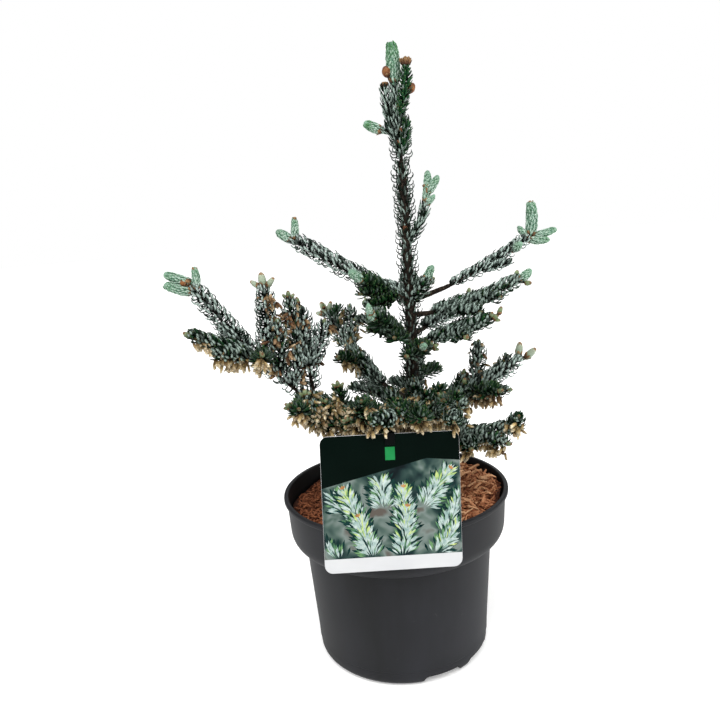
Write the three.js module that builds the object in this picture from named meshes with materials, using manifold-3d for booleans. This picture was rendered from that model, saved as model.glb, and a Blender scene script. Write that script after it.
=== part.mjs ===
// A young Korean fir in its nursery pot, with bark mulch on the soil and a picture label on the rim.
// Millimetres, +Z up. The origin is the centre of the pot's flat underside, and -Y is the front.

import * as THREE from 'three';
import { mergeVertices } from 'three/addons/utils/BufferGeometryUtils.js';
import Module from 'manifold-3d';

const wasm = await Module();
wasm.setup();

// ---------------------------------------------------------------- driving dimensions

const GAP = 0.3; // air between neighbouring pieces

const POT = {
  height: 141.7,
  rimRadius: 95, // over the rolled lip
  lip: 3.4, // height of the lip
  bandFoot: 112, // height where the collar band starts to round inwards
  bandRadius: 91.2, // at the foot of the band
  bodyTop: [79.6, 100], // radius and height where the body meets the band
  footRadius: 72.7,
  footRound: 6.5,
  wall: 1.9,
  floor: 2.5, // thickness in the middle
  footFloor: [50, 9], // the floor is this high outside this radius, over the notches
  sides: 30,
};

const NOTCH = {
  angles: [-65, -31, 115, 149], // middles, seen from above
  halfWidth: 13, // degrees
  height: 6.4,
  inner: 53, // radius where a notch starts
  drainRadius: 4, // round hole up through the notch's roof
  drainAt: 61,
};

const SOIL = {
  rim: 127.5, // height at the pot wall
  crown: 129.7, // height in the middle, where the trunk stands
  crownRadius: 26,
  lump: 1.6, // how far the mulch swells and dips
  ripple: 0.6,
};

// Stations of the trunk's axis: height and sideways lean.
const TRUNK = {
  stations: [[130, 9], [160, 13], [195, 16.5], [240, 20], [300, 21], [378, 20], [408, 19.6]],
  flareRadius: 9.5,
  baseRadius: 6.4,
  tipRadius: 3,
  sides: 9,
};

const LIMB = { baseRadius: 2.7, tipRadius: 1.7, sides: 6 };
const STEM = { radius: 1.3, sides: 4 }; // the twig inside a mass
const CORE = { radius: 6.2, short: 4.6, young: 4.4, sides: 5 }; // the dense middle of a brush of needles
const NEEDLE = { length: 9.5, width: 2, flat: 0.5, pitch: 7.6, turn: 2.4, sunk: 3.6 };
const SHORT_SHOOT = 34; // shoots under this length have the slimmer core
const CONE = { length: 7.5, width: 3.6 }; // an old pollen cone

// Room that one mass leaves to the next, to a limb, and to the trunk.
const CLEAR = { mass: 1.5, limb: 1.5, core: 1.2 };

const CARD = {
  width: 100,
  height: 100,
  thickness: 0.8,
  corner: 6,
  centre: [-3, 166.3], // sideways and height
  lean: 7, // the top leans back to the plant
  turn: 5.4,
  roll: -1.9,
};

const CLIP = {
  width: 7,
  strip: 1.5, // thickness of the plastic
  lap: 8, // how far it folds down over the front of the card
  foot: 108, // height of the spike's end, down in the soil
  footInset: 20, // how far the spike's foot stands behind the card's plane
};

// The boughs. Each leaves the trunk at a height, or an earlier bough at a share of its length. Its
// heading is in degrees from +X seen from above, run and rise lead to its tip, slopes are the angles
// that it leaves and finishes with, swing turns its heading along the way, and bare is the share of
// it that is wood with no needles. Its side shoots are [share, turn from the bough, lift, length], as
// are its smooth young shoots. Tufts and cones are the numbers of short shoots and old pollen cones
// that the seeded rule adds.
const BOUGHS = [
  { name: 'upper_left', height: 298, heading: 175, run: 104, rise: 62, slopes: [28, 34], bare: 0.13,
    shoots: [[0.15, 51, 26, 46], [0.2, -50, 8, 40]], young: [[0.88, 10, 86, 14]] },
  { name: 'upper_left_low', height: 271, heading: -119, run: 57, rise: 25, slopes: [16, 28], bare: 0.2,
    shoots: [[0.45, 60, 15, 26]], young: [[0.96, 20, 70, 8]] },
  { name: 'upper_right', height: 299, heading: 11, run: 103, rise: 44, slopes: [12, 32], bare: 0.3,
    shoots: [[0.55, -14, 12, 27]],
    young: [[1, 0, 88, 30], [1, -8, 2, 20], [0.95, -22, 0, 19], [0.99, 169, 53, 11]] },
  { name: 'mid_right', height: 287, heading: -17, run: 88, rise: 26, slopes: [4, 30], bare: 0.2,
    shoots: [[0.45, 40, 14, 30]], young: [[0.93, 60, 60, 12], [0.99, 10, 36, 13]] },
  { name: 'mid_right_low', height: 264, heading: -36, run: 79, rise: 26, slopes: [8, 28], bare: 0.2,
    shoots: [[0.5, -40, 4, 28]], young: [[0.97, 20, 60, 8]] },
  { name: 'upper_back', height: 292, heading: 88, run: 90, rise: 26, slopes: [10, 26], bare: 0.2,
    shoots: [[0.4, 42, 12, 38], [0.5, -42, 12, 36]], young: [[0.97, 0, 60, 10]] },
  { name: 'upper_back_left', height: 266, heading: 130, run: 76, rise: 28, slopes: [8, 26], bare: 0.2,
    shoots: [[0.45, 38, 10, 32]] },
  { name: 'upper_back_right', height: 271, heading: 50, run: 86, rise: 20, slopes: [6, 20], bare: 0.2,
    shoots: [[0.45, 35, 12, 34]], young: [[0.97, 0, 60, 10]] },
  { name: 'left', height: 200, heading: -170, run: 166, rise: 123, slopes: [-8, 54], swing: 10, bare: 0.46,
    shoots: [[0.7, 23, 24, 58], [0.66, 93, 22, 30], [0.72, -50, 25, 40], [0.65, 168, 86, 68]],
    young: [[0.98, 10, 6, 24], [0.98, -8, 30, 24], [0.97, 10, 86, 17]], cones: 9 },
  { name: 'left_up', parent: 'left', share: 0.42, heading: 120, run: 12, rise: 78, slopes: [80, 84],
    bare: 0.2, shoots: [[0.34, 50, 79, 64], [0.36, -70, 58, 42]], young: [[0.98, 60, 70, 8]], cones: 8 },
  { name: 'front_left', height: 188, heading: -145, run: 114, rise: 48, slopes: [4, 36], bare: 0.27,
    shoots: [[0.72, -10, 66, 30], [0.45, 5, 72, 46], [0.58, 5, 60, 32]], tufts: 5, cones: 8 },
  { name: 'front_left_mid', height: 196, heading: -122, run: 94, rise: 31, slopes: [4, 30], bare: 0.3,
    shoots: [[0.5, 38, 12, 42]], tufts: 5, cones: 5 },
  { name: 'front', height: 187, heading: -91, run: 75, rise: 42, slopes: [10, 36], bare: 0.32,
    shoots: [[0.45, 14, 50, 34]], tufts: 4, cones: 5 },
  { name: 'front_right', height: 200, heading: -66, run: 72, rise: 27, slopes: [6, 30], bare: 0.32,
    shoots: [[0.42, 10, 50, 34]], tufts: 4, cones: 5 },
  { name: 'right', height: 208, heading: -6, run: 90, rise: 40, slopes: [4, 36], bare: 0.26,
    shoots: [[0.56, 75, 64, 38], [0.5, -48, 12, 40], [0.36, 20, 66, 26], [0.4, -60, 55, 22]],
    young: [[0.94, 10, 70, 12], [0.99, 0, 34, 14]], cones: 5 },
  { name: 'right_low', height: 189, heading: -28, run: 98, rise: 19, slopes: [0, 26], bare: 0.28,
    shoots: [[0.6, -22, 0, 36], [0.5, -58, -8, 28]], tufts: 2, cones: 8 },
  { name: 'back_left', height: 216, heading: 141, run: 95, rise: 76, slopes: [10, 56], bare: 0.25,
    shoots: [[0.55, -61, 70, 42], [0.5, 93, 20, 34]], young: [[0.97, 60, 70, 11]], tufts: 2, cones: 5 },
  { name: 'back_left_low', height: 190, heading: 156, run: 112, rise: 24, slopes: [4, 18], bare: 0.24,
    shoots: [[0.5, 35, 6, 44], [0.6, -35, 8, 38]], tufts: 2, cones: 3 },
  { name: 'back', height: 209, heading: 84, run: 118, rise: 28, slopes: [6, 22], bare: 0.22,
    shoots: [[0.4, 36, -6, 46], [0.55, -36, 2, 40]], tufts: 2, cones: 3 },
  { name: 'back_right', height: 196, heading: 34, run: 112, rise: 28, slopes: [4, 22], bare: 0.24,
    shoots: [[0.4, 38, 10, 44], [0.55, -36, 6, 40]], tufts: 2, cones: 3 },
  { name: 'back_side', height: 203, heading: 116, run: 104, rise: 22, slopes: [4, 18], bare: 0.24,
    shoots: [[0.5, 30, 4, 40]], tufts: 2, cones: 3 },
];

// Shoots that stand on the trunk itself, with no bare bough under them.
const TRUNK_SHOOTS = [
  { name: 'leader', height: 408, heading: 190, run: 3, rise: 86, slopes: [88, 88],
    shoots: [[0.1, -5, 79, 50], [0.34, 130, 76, 43]], young: [[0.28, -8, 20, 26], [0.7, 10, 56, 13]] },
  { name: 'trunk_right', height: 345, heading: -18, run: 19, rise: 44, slopes: [38, 82],
    young: [[0.8, -10, 50, 19], [0.9, 70, 80, 16]] },
  { name: 'trunk_right_bud', height: 301, heading: -30, run: 18, rise: 24, slopes: [30, 60], smooth: true },
  { name: 'front_small', height: 255, heading: -76, run: 36, rise: 13, slopes: [10, 24],
    shoots: [[0.4, -40, 4, 24], [0.45, 60, 20, 18]] },
];

// Needles that stand on the trunk, between these heights.
const SLEEVES = [
  { name: 'trunk_low', from: 226, to: 252 },
  { name: 'trunk_mid', from: 310, to: 337 },
  { name: 'trunk_high', from: 356, to: 402 },
];
const SLEEVE = { wall: 1.3, pitch: 2.6, sides: 7, needle: 10.4 };

const SEEDS = { boughs: 11, trunkShoots: 511, sleeves: 901, step: 7 };

const COLOURS = {
  plastic: 0x36373a,
  mulch: 0x7a452c,
  bark: 0x5a4a3c,
  needles: 0x3c5f52,
  card: 0xe9ebe6,
};

// ---------------------------------------------------------------- solids

const radians = THREE.MathUtils.degToRad;
const lerp = THREE.MathUtils.lerp;

// A seeded row of numbers from 0 to 1.
function seededNumbers(seed) {
  let state = seed;
  return () => {
    state = (state * 16807) % 2147483647;
    return state / 2147483647;
  };
}

function vectorsOf(geometry) {
  const plain = geometry.clone();
  plain.deleteAttribute('normal');
  plain.deleteAttribute('uv');
  const merged = mergeVertices(plain, 1e-4);
  const index = [];
  for (let i = 0; i < merged.index.count; i += 3) {
    const [a, b, c] = [merged.index.getX(i), merged.index.getX(i + 1), merged.index.getX(i + 2)];
    if (a !== b && b !== c && c !== a) index.push(a, b, c);
  }
  return { vertices: merged.attributes.position.array, index };
}

function signedVolume(vertices, index) {
  const [a, b, c] = [new THREE.Vector3(), new THREE.Vector3(), new THREE.Vector3()];
  let sum = 0;
  for (let i = 0; i < index.length; i += 3) {
    a.fromArray(vertices, 3 * index[i]);
    b.fromArray(vertices, 3 * index[i + 1]);
    c.fromArray(vertices, 3 * index[i + 2]);
    sum += a.dot(b.cross(c)) / 6;
  }
  return sum;
}

function solid(geometry) {
  const { vertices, index } = vectorsOf(geometry);
  const outward = signedVolume(vertices, index) > 0;
  const triVerts = new Uint32Array(index.length);
  for (let i = 0; i < index.length; i += 3) {
    triVerts[i] = index[i];
    triVerts[i + 1] = index[outward ? i + 1 : i + 2];
    triVerts[i + 2] = index[outward ? i + 2 : i + 1];
  }
  const vertProperties = new Float32Array(vertices);
  return new wasm.Manifold(new wasm.Mesh({ numProp: 3, vertProperties, triVerts }));
}

// The outer skin of the largest body in a solid: sealed hollows are filled and loose scraps dropped.
function skin(manifold) {
  const { vertProperties, triVerts } = manifold.getMesh();
  const parent = Array.from({ length: vertProperties.length / 3 }, (_, i) => i);
  const root = (i) => {
    while (parent[i] !== i) i = parent[i] = parent[parent[i]];
    return i;
  };
  for (let i = 0; i < triVerts.length; i += 3) {
    parent[root(triVerts[i + 1])] = root(triVerts[i]);
    parent[root(triVerts[i + 2])] = root(triVerts[i]);
  }
  const bodies = new Map();
  for (let i = 0; i < triVerts.length; i += 3) {
    const key = root(triVerts[i]);
    if (!bodies.has(key)) bodies.set(key, []);
    bodies.get(key).push(triVerts[i], triVerts[i + 1], triVerts[i + 2]);
  }
  const largest = [...bodies.values()].sort(
    (a, b) => signedVolume(vertProperties, b) - signedVolume(vertProperties, a))[0];
  const geometry = new THREE.BufferGeometry();
  geometry.setAttribute('position', new THREE.BufferAttribute(new Float32Array(vertProperties), 3));
  geometry.setIndex(largest);
  return geometry;
}

const plant = new THREE.Group();

function addNode(name, manifold, colour, roughness = 0.85) {
  const geometry = skin(manifold);
  geometry.computeVertexNormals();
  const material = new THREE.MeshStandardMaterial({ color: colour, roughness, metalness: 0 });
  const mesh = new THREE.Mesh(geometry, material);
  mesh.name = name;
  plant.add(mesh);
}

// ---------------------------------------------------------------- curves

function heading(degrees, lift) {
  const [a, b] = [radians(degrees), radians(lift)];
  return new THREE.Vector3(Math.cos(a) * Math.cos(b), Math.sin(a) * Math.cos(b), Math.sin(b));
}

const trunkFoot = TRUNK.stations[0][0];
const trunkTip = TRUNK.stations.at(-1)[0];

function trunkAt(height) {
  const last = TRUNK.stations.length - 1;
  const above = TRUNK.stations.findIndex(([z], i) => i > 0 && (z >= height || i === last));
  const [z0, x0] = TRUNK.stations[above - 1];
  const [z1, x1] = TRUNK.stations[above];
  return new THREE.Vector3(lerp(x0, x1, (height - z0) / (z1 - z0)), 0, height);
}

function trunkRadius(height) {
  const share = THREE.MathUtils.clamp((height - trunkFoot) / (trunkTip - trunkFoot), 0, 1);
  const flare = (TRUNK.flareRadius - TRUNK.baseRadius) * Math.exp(Math.min(0, trunkFoot - height) / 7);
  return lerp(TRUNK.baseRadius, TRUNK.tipRadius, share) + flare;
}

function boughCurve(from, { heading: way, run, rise, slopes, swing = 0 }) {
  const level = radians(way);
  const tip = from.clone().add(new THREE.Vector3(run * Math.cos(level), run * Math.sin(level), rise));
  const pull = 0.35 * Math.hypot(run, rise);
  const second = from.clone().addScaledVector(heading(way + swing, slopes[0]), pull);
  const third = tip.clone().addScaledVector(heading(way - swing, slopes[1]), -pull);
  return new THREE.CubicBezierCurve3(from, second, third, tip);
}

// A side shoot sets off a little lower than it ends.
function shootCurve(from, way, lift, length) {
  const middle = from.clone().addScaledVector(heading(way, lift - 10), length / 2);
  const tip = from.clone().addScaledVector(heading(way, lift), length);
  return new THREE.QuadraticBezierCurve3(from, middle, tip);
}

function frameAt(curve, share) {
  const along = curve.getTangent(share);
  const chord = curve.getPoint(1).sub(curve.getPoint(0)).normalize();
  const reference = Math.abs(chord.z) > 0.7 ? new THREE.Vector3(1, 0, 0) : new THREE.Vector3(0, 0, 1);
  const across = reference.cross(along).normalize();
  return { point: curve.getPoint(share), along, across, up: along.clone().cross(across) };
}

// A round body along a curve: a lathe profile of [share, radius], closed on its axis and then bent.
function bentLathe(curve, profile, sides) {
  const outline = profile.map(([share, radius]) => new THREE.Vector2(radius, share));
  const geometry = new THREE.LatheGeometry(outline, sides);
  const position = geometry.attributes.position;
  for (let i = 0; i < position.count; i++) {
    const { point, across, up } = frameAt(curve, position.getY(i));
    point.addScaledVector(across, position.getX(i)).addScaledVector(up, position.getZ(i));
    position.setXYZ(i, point.x, point.y, point.z);
  }
  return solid(geometry);
}

function taper(curve, from, to, startRadius, endRadius, sides, steps = 2) {
  const profile = [[from, 0]];
  for (let i = 0; i <= steps; i++) {
    profile.push([lerp(from, to, i / steps), lerp(startRadius, endRadius, i / steps)]);
  }
  profile.push([to, 0]);
  return bentLathe(curve, profile, sides);
}

// ---------------------------------------------------------------- pot, soil, label

function ring(path, sides) {
  return solid(new THREE.LatheGeometry(path.getPoints(3), sides).rotateX(Math.PI / 2));
}

// The pot's inner wall as [radius, height], from the middle of the floor up to the foot of the lip.
const innerWall = (() => {
  const { wall, floor, footFloor, footRadius, bodyTop, bandRadius, bandFoot, height, lip, rimRadius } = POT;
  const [ledge, band] = [bodyTop[1] + wall, bandRadius - wall];
  return [
    [0, floor], [footFloor[0] - 6, floor], footFloor, [footRadius - wall + 0.8, footFloor[1]],
    [bodyTop[0] - wall, ledge], [lerp(bodyTop[0] - wall, band, 0.6), ledge + 2],
    [band, bandFoot + 1], [rimRadius - 4.4, height - lip],
  ];
})();

function makePot() {
  const { height, rimRadius, lip, bandFoot, bandRadius, bodyTop, footRadius, footRound } = POT;
  const outline = new THREE.Path();
  outline.moveTo(0, 0);
  outline.lineTo(footRadius - footRound, 0);
  outline.quadraticCurveTo(footRadius, 0, footRadius + 0.4, footRound);
  outline.lineTo(...bodyTop);
  outline.quadraticCurveTo(bandRadius - 1, bodyTop[1] + 1, bandRadius, bandFoot);
  outline.lineTo(rimRadius - 2.4, height - lip);
  outline.lineTo(rimRadius, height - lip + 0.8);
  outline.lineTo(rimRadius, height - 0.9);
  outline.lineTo(rimRadius - 0.9, height);
  outline.lineTo(rimRadius - 3.4, height);
  for (const corner of [...innerWall].reverse()) outline.lineTo(...corner);
  let pot = ring(outline, POT.sides);
  for (const middle of NOTCH.angles) {
    const [from, to] = [radians(middle - NOTCH.halfWidth), radians(middle + NOTCH.halfWidth)];
    const plan = new THREE.Shape();
    plan.absarc(0, 0, footRadius + 8, from, to, false);
    plan.absarc(0, 0, NOTCH.inner, to, from, true);
    const options = { depth: NOTCH.height + 1, bevelEnabled: false, curveSegments: 4 };
    const cut = new THREE.ExtrudeGeometry(plan, options);
    const drain = new THREE.CylinderGeometry(NOTCH.drainRadius, NOTCH.drainRadius, 20, 8);
    const way = radians(middle);
    drain.rotateX(Math.PI / 2).translate(NOTCH.drainAt * Math.cos(way), NOTCH.drainAt * Math.sin(way), 8);
    pot = pot.subtract(solid(cut.translate(0, 0, -1))).subtract(solid(drain));
  }
  return pot;
}

// The soil fills the pot, level under the trunk and lumpy with mulch outside that.
function makeSoil(slots) {
  const seated = innerWall.slice(0, -1).map(([r, z]) => [Math.max(0, r - GAP - 0.05), z + GAP]);
  const outline = [
    ...seated, [innerWall.at(-2)[0] + 0.2, SOIL.rim], [70, SOIL.rim + 0.8], [48, SOIL.rim + 1.6],
    [SOIL.crownRadius, SOIL.crown], [0, SOIL.crown],
  ];
  const geometry = new THREE.LatheGeometry(outline.map(([r, z]) => new THREE.Vector2(r, z)), POT.sides);
  geometry.rotateX(Math.PI / 2);
  const position = geometry.attributes.position;
  for (let i = 0; i < position.count; i++) {
    const [x, y, z] = [position.getX(i), position.getY(i), position.getZ(i)];
    if (z < SOIL.rim || Math.hypot(x, y) < SOIL.crownRadius + 1) continue;
    const swell = SOIL.lump * Math.sin(0.31 * x + 1) * Math.cos(0.27 * y);
    position.setZ(i, z + swell + SOIL.ripple * Math.sin(0.8 * x + 0.6 * y));
  }
  return slots.reduce((soil, slot) => soil.subtract(slot), solid(geometry));
}

// The trunk's foot is cut level where it meets the soil.
function trunkSolid(grow) {
  const heights = [-5, 0, 3, 7, 13, 24, 45, 75, 110, 150, 190, 230].map((h) => trunkFoot + h);
  heights.push(trunkTip + grow);
  const path = new THREE.CatmullRomCurve3(heights.map((z) => trunkAt(z)));
  const share = (i) => i / (heights.length - 1);
  const profile = heights.map((z, i) => [share(i), trunkRadius(z) + grow]);
  const ground = solid(new THREE.BoxGeometry(60, 60, 20).translate(0, 0, trunkFoot - 10));
  return bentLathe(path, [[0, 0], ...profile, [1, 0]], TRUNK.sides).subtract(ground);
}

// The card's own frame: X across it, Y up it, Z out of its printed face.
const cardFrame = (() => {
  const [lean, turn, roll] = [radians(CARD.lean), radians(CARD.turn), radians(CARD.roll)];
  const turned = new THREE.Matrix4().makeRotationZ(turn)
    .multiply(new THREE.Matrix4().makeRotationX(Math.PI / 2 - lean))
    .multiply(new THREE.Matrix4().makeRotationZ(roll));
  const out = new THREE.Vector3(0, 0, 1).transformDirection(turned);
  // The back of the card stands GAP in front of the lip, at the lip's foremost point.
  const lipHeight = POT.height - 0.9;
  const reach = POT.rimRadius * Math.hypot(out.x, out.y) + lipHeight * out.z + GAP + 0.1;
  const [x, z] = CARD.centre;
  const y = (reach - out.x * x - out.z * z) / out.y;
  return turned.setPosition(x, y, z);
})();

function makeCard() {
  const { width, height, corner, thickness } = CARD;
  const [w, h] = [width / 2, height / 2];
  const face = new THREE.Shape();
  face.moveTo(-w + corner, -h);
  face.absarc(w - corner, -h + corner, corner, -Math.PI / 2, 0, false);
  face.absarc(w - corner, h - corner, corner, 0, Math.PI / 2, false);
  face.absarc(-w + corner, h - corner, corner, Math.PI / 2, Math.PI, false);
  face.absarc(-w + corner, -h + corner, corner, Math.PI, 1.5 * Math.PI, false);
  const options = { depth: thickness, bevelEnabled: false, curveSegments: 3 };
  return solid(new THREE.ExtrudeGeometry(face, options).applyMatrix4(cardFrame));
}

// The clip folds over the card's top edge and runs down behind it into the soil as a spike.
// Its outline lies in the plane across the card: Z out of the card first, then Y up it.
function makeClip(grow = 0) {
  const top = CARD.height / 2 + GAP;
  const front = CARD.thickness + GAP;
  const { strip, lap, footInset, width } = CLIP;
  const footUp = (CLIP.foot - CARD.centre[1]) / Math.cos(radians(CARD.lean));
  const outline = new THREE.Shape([
    [front, top - lap], [front + strip, top - lap], [front + strip, top + strip * 0.4], [front, top + strip],
    [-GAP, top + strip], [-GAP - strip - grow, top - 4], [-footInset - strip - grow, footUp - grow],
    [-footInset + grow, footUp - grow], [-GAP + grow / 9, top - 14], [-GAP, top],
    [front, top],
  ].map(([out, up]) => new THREE.Vector2(out, up)));
  const geometry = new THREE.ExtrudeGeometry(outline, { depth: width + 2 * grow, bevelEnabled: false });
  geometry.translate(0, 0, -width / 2 - grow).rotateY(-Math.PI / 2);
  return solid(geometry.applyMatrix4(cardFrame));
}

// ---------------------------------------------------------------- growth

// Points of every limb and shoot, which tell each mass how far its space reaches.
const taken = [];

function takePoints(owner, kind, curve, from, to, radiusAt) {
  const steps = Math.max(2, Math.ceil((curve.getLength() * (to - from)) / 2.5));
  for (let i = 0; i <= steps; i++) {
    const share = lerp(from, to, i / steps);
    taken.push({ owner, kind, point: curve.getPoint(share), radius: radiusAt(share) });
  }
}

const cardInverse = cardFrame.clone().invert();

// The pot, the soil and the label take their own room.
function meetsFixture(point, room) {
  const level = Math.hypot(point.x, point.y);
  if (level < POT.rimRadius + room && point.z < SOIL.crown + 4 + room) return true;
  if (Math.abs(level - POT.rimRadius + 3) < 6 + room && point.z < POT.height + room) return true;
  const local = point.clone().applyMatrix4(cardInverse);
  if (local.y > CARD.height / 2 + 3 + room) return false;
  const across = Math.abs(local.x) - room;
  if (across < CARD.width / 2 && local.z > -room - 0.6 && local.z < CARD.thickness + room) return true;
  return across < CLIP.width / 2 && local.z > -16 - room && local.z < 4 + room;
}

function trunkDistance(point) {
  const height = THREE.MathUtils.clamp(point.z, trunkFoot, trunkTip);
  return point.distanceTo(trunkAt(height)) - trunkRadius(height);
}

// True where a point with some room round it is still in its mass's own space.
function inOwnSpace(point, owner, room) {
  if (meetsFixture(point, room) || trunkDistance(point) < room) return false;
  let own = Infinity;
  let other = Infinity;
  for (const spot of taken) {
    const distance = point.distanceTo(spot.point);
    if (spot.kind === 'limb') {
      if (distance < spot.radius + room) return false;
    } else if (spot.owner === owner) own = Math.min(own, distance);
    else other = Math.min(other, distance);
  }
  return other > own + CLEAR.mass;
}

function coreRadius(curve, smooth) {
  if (smooth) return CORE.young;
  return curve.getLength() < SHORT_SHOOT ? CORE.short : CORE.radius;
}

// The stretch of a shoot whose core stays clear of limbs, fixtures and the other masses' shoots.
function clearStretch(curve, owner, from, girth) {
  const steps = Math.ceil(curve.getLength() / 2);
  const isFree = (share) => {
    const point = curve.getPoint(share);
    if (meetsFixture(point, girth + CLEAR.core)) return false;
    if (trunkDistance(point) < girth + CLEAR.core) return false;
    return taken.every((spot) => {
      if (spot.owner === owner && spot.kind === 'shoot') return true;
      return point.distanceTo(spot.point) > girth + CLEAR.core + spot.radius;
    });
  };
  let start = null;
  let end = null;
  for (let i = 0; i <= steps; i++) {
    const share = lerp(from, 1, i / steps);
    if (isFree(share)) {
      start ??= share;
      end = share;
    } else if (start !== null) break;
  }
  return start === null || (end - start) * curve.getLength() < 5 ? null : [start, end];
}

// Short side shoots by the seeded rule: spread along the outer part, to both sides and upwards.
function seededTufts(count, random) {
  return Array.from({ length: count }, (_, i) => {
    const share = 0.4 + (0.56 * (i + random())) / count;
    const turn = (i % 2 ? -1 : 1) * lerp(20, 85, random());
    return [share, turn, lerp(20, 75, random()), lerp(15, 24, random())];
  });
}

const limbs = new Map();
const masses = [];

function growBough(plan, seed) {
  const random = seededNumbers(seed);
  const parent = plan.parent && limbs.get(plan.parent);
  const from = parent ? parent.curve.getPoint(plan.share) : trunkAt(plan.height);
  const curve = boughCurve(from, plan);
  const bare = plan.bare ?? 0;
  if (bare) {
    const radiusAt = (share) => lerp(LIMB.baseRadius, LIMB.tipRadius, share / bare);
    limbs.set(plan.name, { curve, bare, parent, radiusAt });
    takePoints(plan.name, 'limb', curve, 0, bare, radiusAt);
  }
  masses.push({ plan, curve, bare, random, shoots: [] });
}

function addShoot(mass, path, from, smooth) {
  const girth = coreRadius(path, smooth);
  const stretch = clearStretch(path, mass.plan.name, from, girth);
  if (!stretch) return;
  mass.shoots.push({ path, from, stretch, girth, smooth });
  takePoints(mass.plan.name, 'shoot', path, stretch[0], stretch[1], () => girth);
}

function growStem(mass) {
  const { plan, curve, bare } = mass;
  addShoot(mass, curve, bare ? bare + (GAP + 0.1) / curve.getLength() : 0, plan.smooth);
}

function growSideShoots(mass) {
  const { plan, curve, random, shoots } = mass;
  const reach = shoots[0].stretch[1];
  const grow = (list, smooth) => {
    for (const [share, turn, lift, length] of list) {
      if (share > reach) continue;
      addShoot(mass, shootCurve(curve.getPoint(share), plan.heading + turn, lift, length), 0, smooth);
    }
  };
  grow(plan.shoots ?? [], false);
  grow(plan.young ?? [], true);
  grow(seededTufts(plan.tufts ?? 0, random), false);
}

const unitNeedle = solid(new THREE.ConeGeometry(1, 1, 3).translate(0, 0.5, 0));
const unitCone = solid(new THREE.OctahedronGeometry(1, 0));

function placed(unit, root, along, flatAcross, scale) {
  const up = along.clone().normalize();
  const side = flatAcross.clone().cross(up).normalize();
  const basis = new THREE.Matrix4().makeBasis(side, up, side.clone().cross(up));
  basis.scale(new THREE.Vector3(...scale)).setPosition(root);
  return unit.transform(basis.elements);
}

// One needle from just inside the core outwards, or nothing where it would leave its mass's space.
function needleSolid(frame, angle, lean, length, rootRadius, owner) {
  const out = frame.across.clone().multiplyScalar(Math.cos(angle)).addScaledVector(frame.up, Math.sin(angle));
  const along = out.clone().multiplyScalar(Math.cos(lean)).addScaledVector(frame.along, Math.sin(lean));
  const root = frame.point.clone().addScaledVector(out, rootRadius);
  for (const share of [0.45, 0.7, 0.85, 1]) {
    const room = CLEAR.limb - 0.9 * share;
    if (!inOwnSpace(root.clone().addScaledVector(along, length * share), owner, room)) return null;
  }
  const scale = [NEEDLE.width, length, NEEDLE.width * NEEDLE.flat];
  return placed(unitNeedle, root, along, out.cross(frame.along), scale);
}

function coneSolid(frame, random, owner) {
  const side = frame.across.clone().multiplyScalar(lerp(-0.8, 0.8, random()));
  const down = new THREE.Vector3(0, 0, -1).add(side).addScaledVector(frame.along, 0.3).normalize();
  const middle = frame.point.clone().addScaledVector(down, CORE.short + CONE.length * 0.35);
  const tip = middle.clone().addScaledVector(down, CONE.length / 2);
  const sideways = new THREE.Vector3(0, 1, 0.1);
  if (![middle, tip].every((point) => inOwnSpace(point, owner, CONE.width / 2))) return null;
  return placed(unitCone, middle, down, sideways, [CONE.width / 2, CONE.length / 2, CONE.width / 2]);
}

// A brush: the stem twig, a slim core, and needles that stand out of it along a seeded spiral.
function brushParts({ path, from, stretch, girth, smooth }, owner, random) {
  const length = path.getLength();
  const [start, end] = stretch;
  const reach = (end - start) * length;
  const parts = [];
  if (start > from) {
    parts.push(taper(path, from, start + 3 / length, STEM.radius, STEM.radius, STEM.sides, 1));
  }
  const profile = [[start, 0], [lerp(start, end, 0.12), girth], [end - 4.5 / length, girth * 0.75], [end, 0]];
  if (reach > 40) profile.splice(2, 0, [lerp(start, end, 0.5), girth]);
  parts.push(bentLathe(path, profile, CORE.sides));
  if (smooth) return parts;
  const count = Math.round(reach / NEEDLE.pitch);
  for (let i = 0; i < count; i++) {
    const place = (i + 0.6) / count;
    const frame = frameAt(path, lerp(start, end, place));
    const angle = i * NEEDLE.turn + 0.5 * random();
    const fade = Math.min(1, 0.62 + place * 1.6, 1.5 - 0.75 * place);
    const size = NEEDLE.length * fade * lerp(0.85, 1.15, random());
    const lean = lerp(0.55, 0.85, random());
    const needle = needleSolid(frame, angle, lean, size, girth - NEEDLE.sunk, owner);
    if (needle) parts.push(needle);
  }
  return parts;
}

function massSolid({ plan, shoots, random }) {
  const parts = shoots.flatMap((shoot) => brushParts(shoot, plan.name, random));
  const brushes = shoots.filter((shoot) => !shoot.smooth);
  for (let i = 0; i < (plan.cones ?? 0); i++) {
    const { path, stretch } = brushes[i % brushes.length];
    const share = lerp(stretch[0], stretch[1], lerp(0.1, 0.8, random()));
    const cone = coneSolid(frameAt(path, share), random, plan.name);
    if (cone) parts.push(cone);
  }
  return wasm.Manifold.union(parts);
}

// A sleeve of needles on the trunk: a thin wall that fits round the bark with needles standing up and out.
function sleeveSolid({ name, from, to }, random) {
  const steps = Math.round((to - from) / 20);
  const heights = Array.from({ length: steps + 1 }, (_, i) => lerp(from, to, i / steps));
  const path = new THREE.CatmullRomCurve3(heights.map((z) => trunkAt(z)));
  const profile = heights.map((z, i) => [i / steps, trunkRadius(z) + GAP + SLEEVE.wall]);
  const parts = [bentLathe(path, [[0, 0], ...profile, [1, 0]], SLEEVE.sides)];
  const count = Math.round((to - from) / SLEEVE.pitch);
  for (let i = 0; i < count; i++) {
    const share = (i + 0.3) / count;
    const root = trunkRadius(lerp(from, to, share)) + GAP + 0.3;
    const angle = i * NEEDLE.turn + 0.5 * random();
    const lean = lerp(0.5, 0.9, random());
    const needle = needleSolid(frameAt(path, share), angle, lean, SLEEVE.needle, root, name);
    if (needle) parts.push(needle);
  }
  return wasm.Manifold.union(parts);
}

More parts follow.
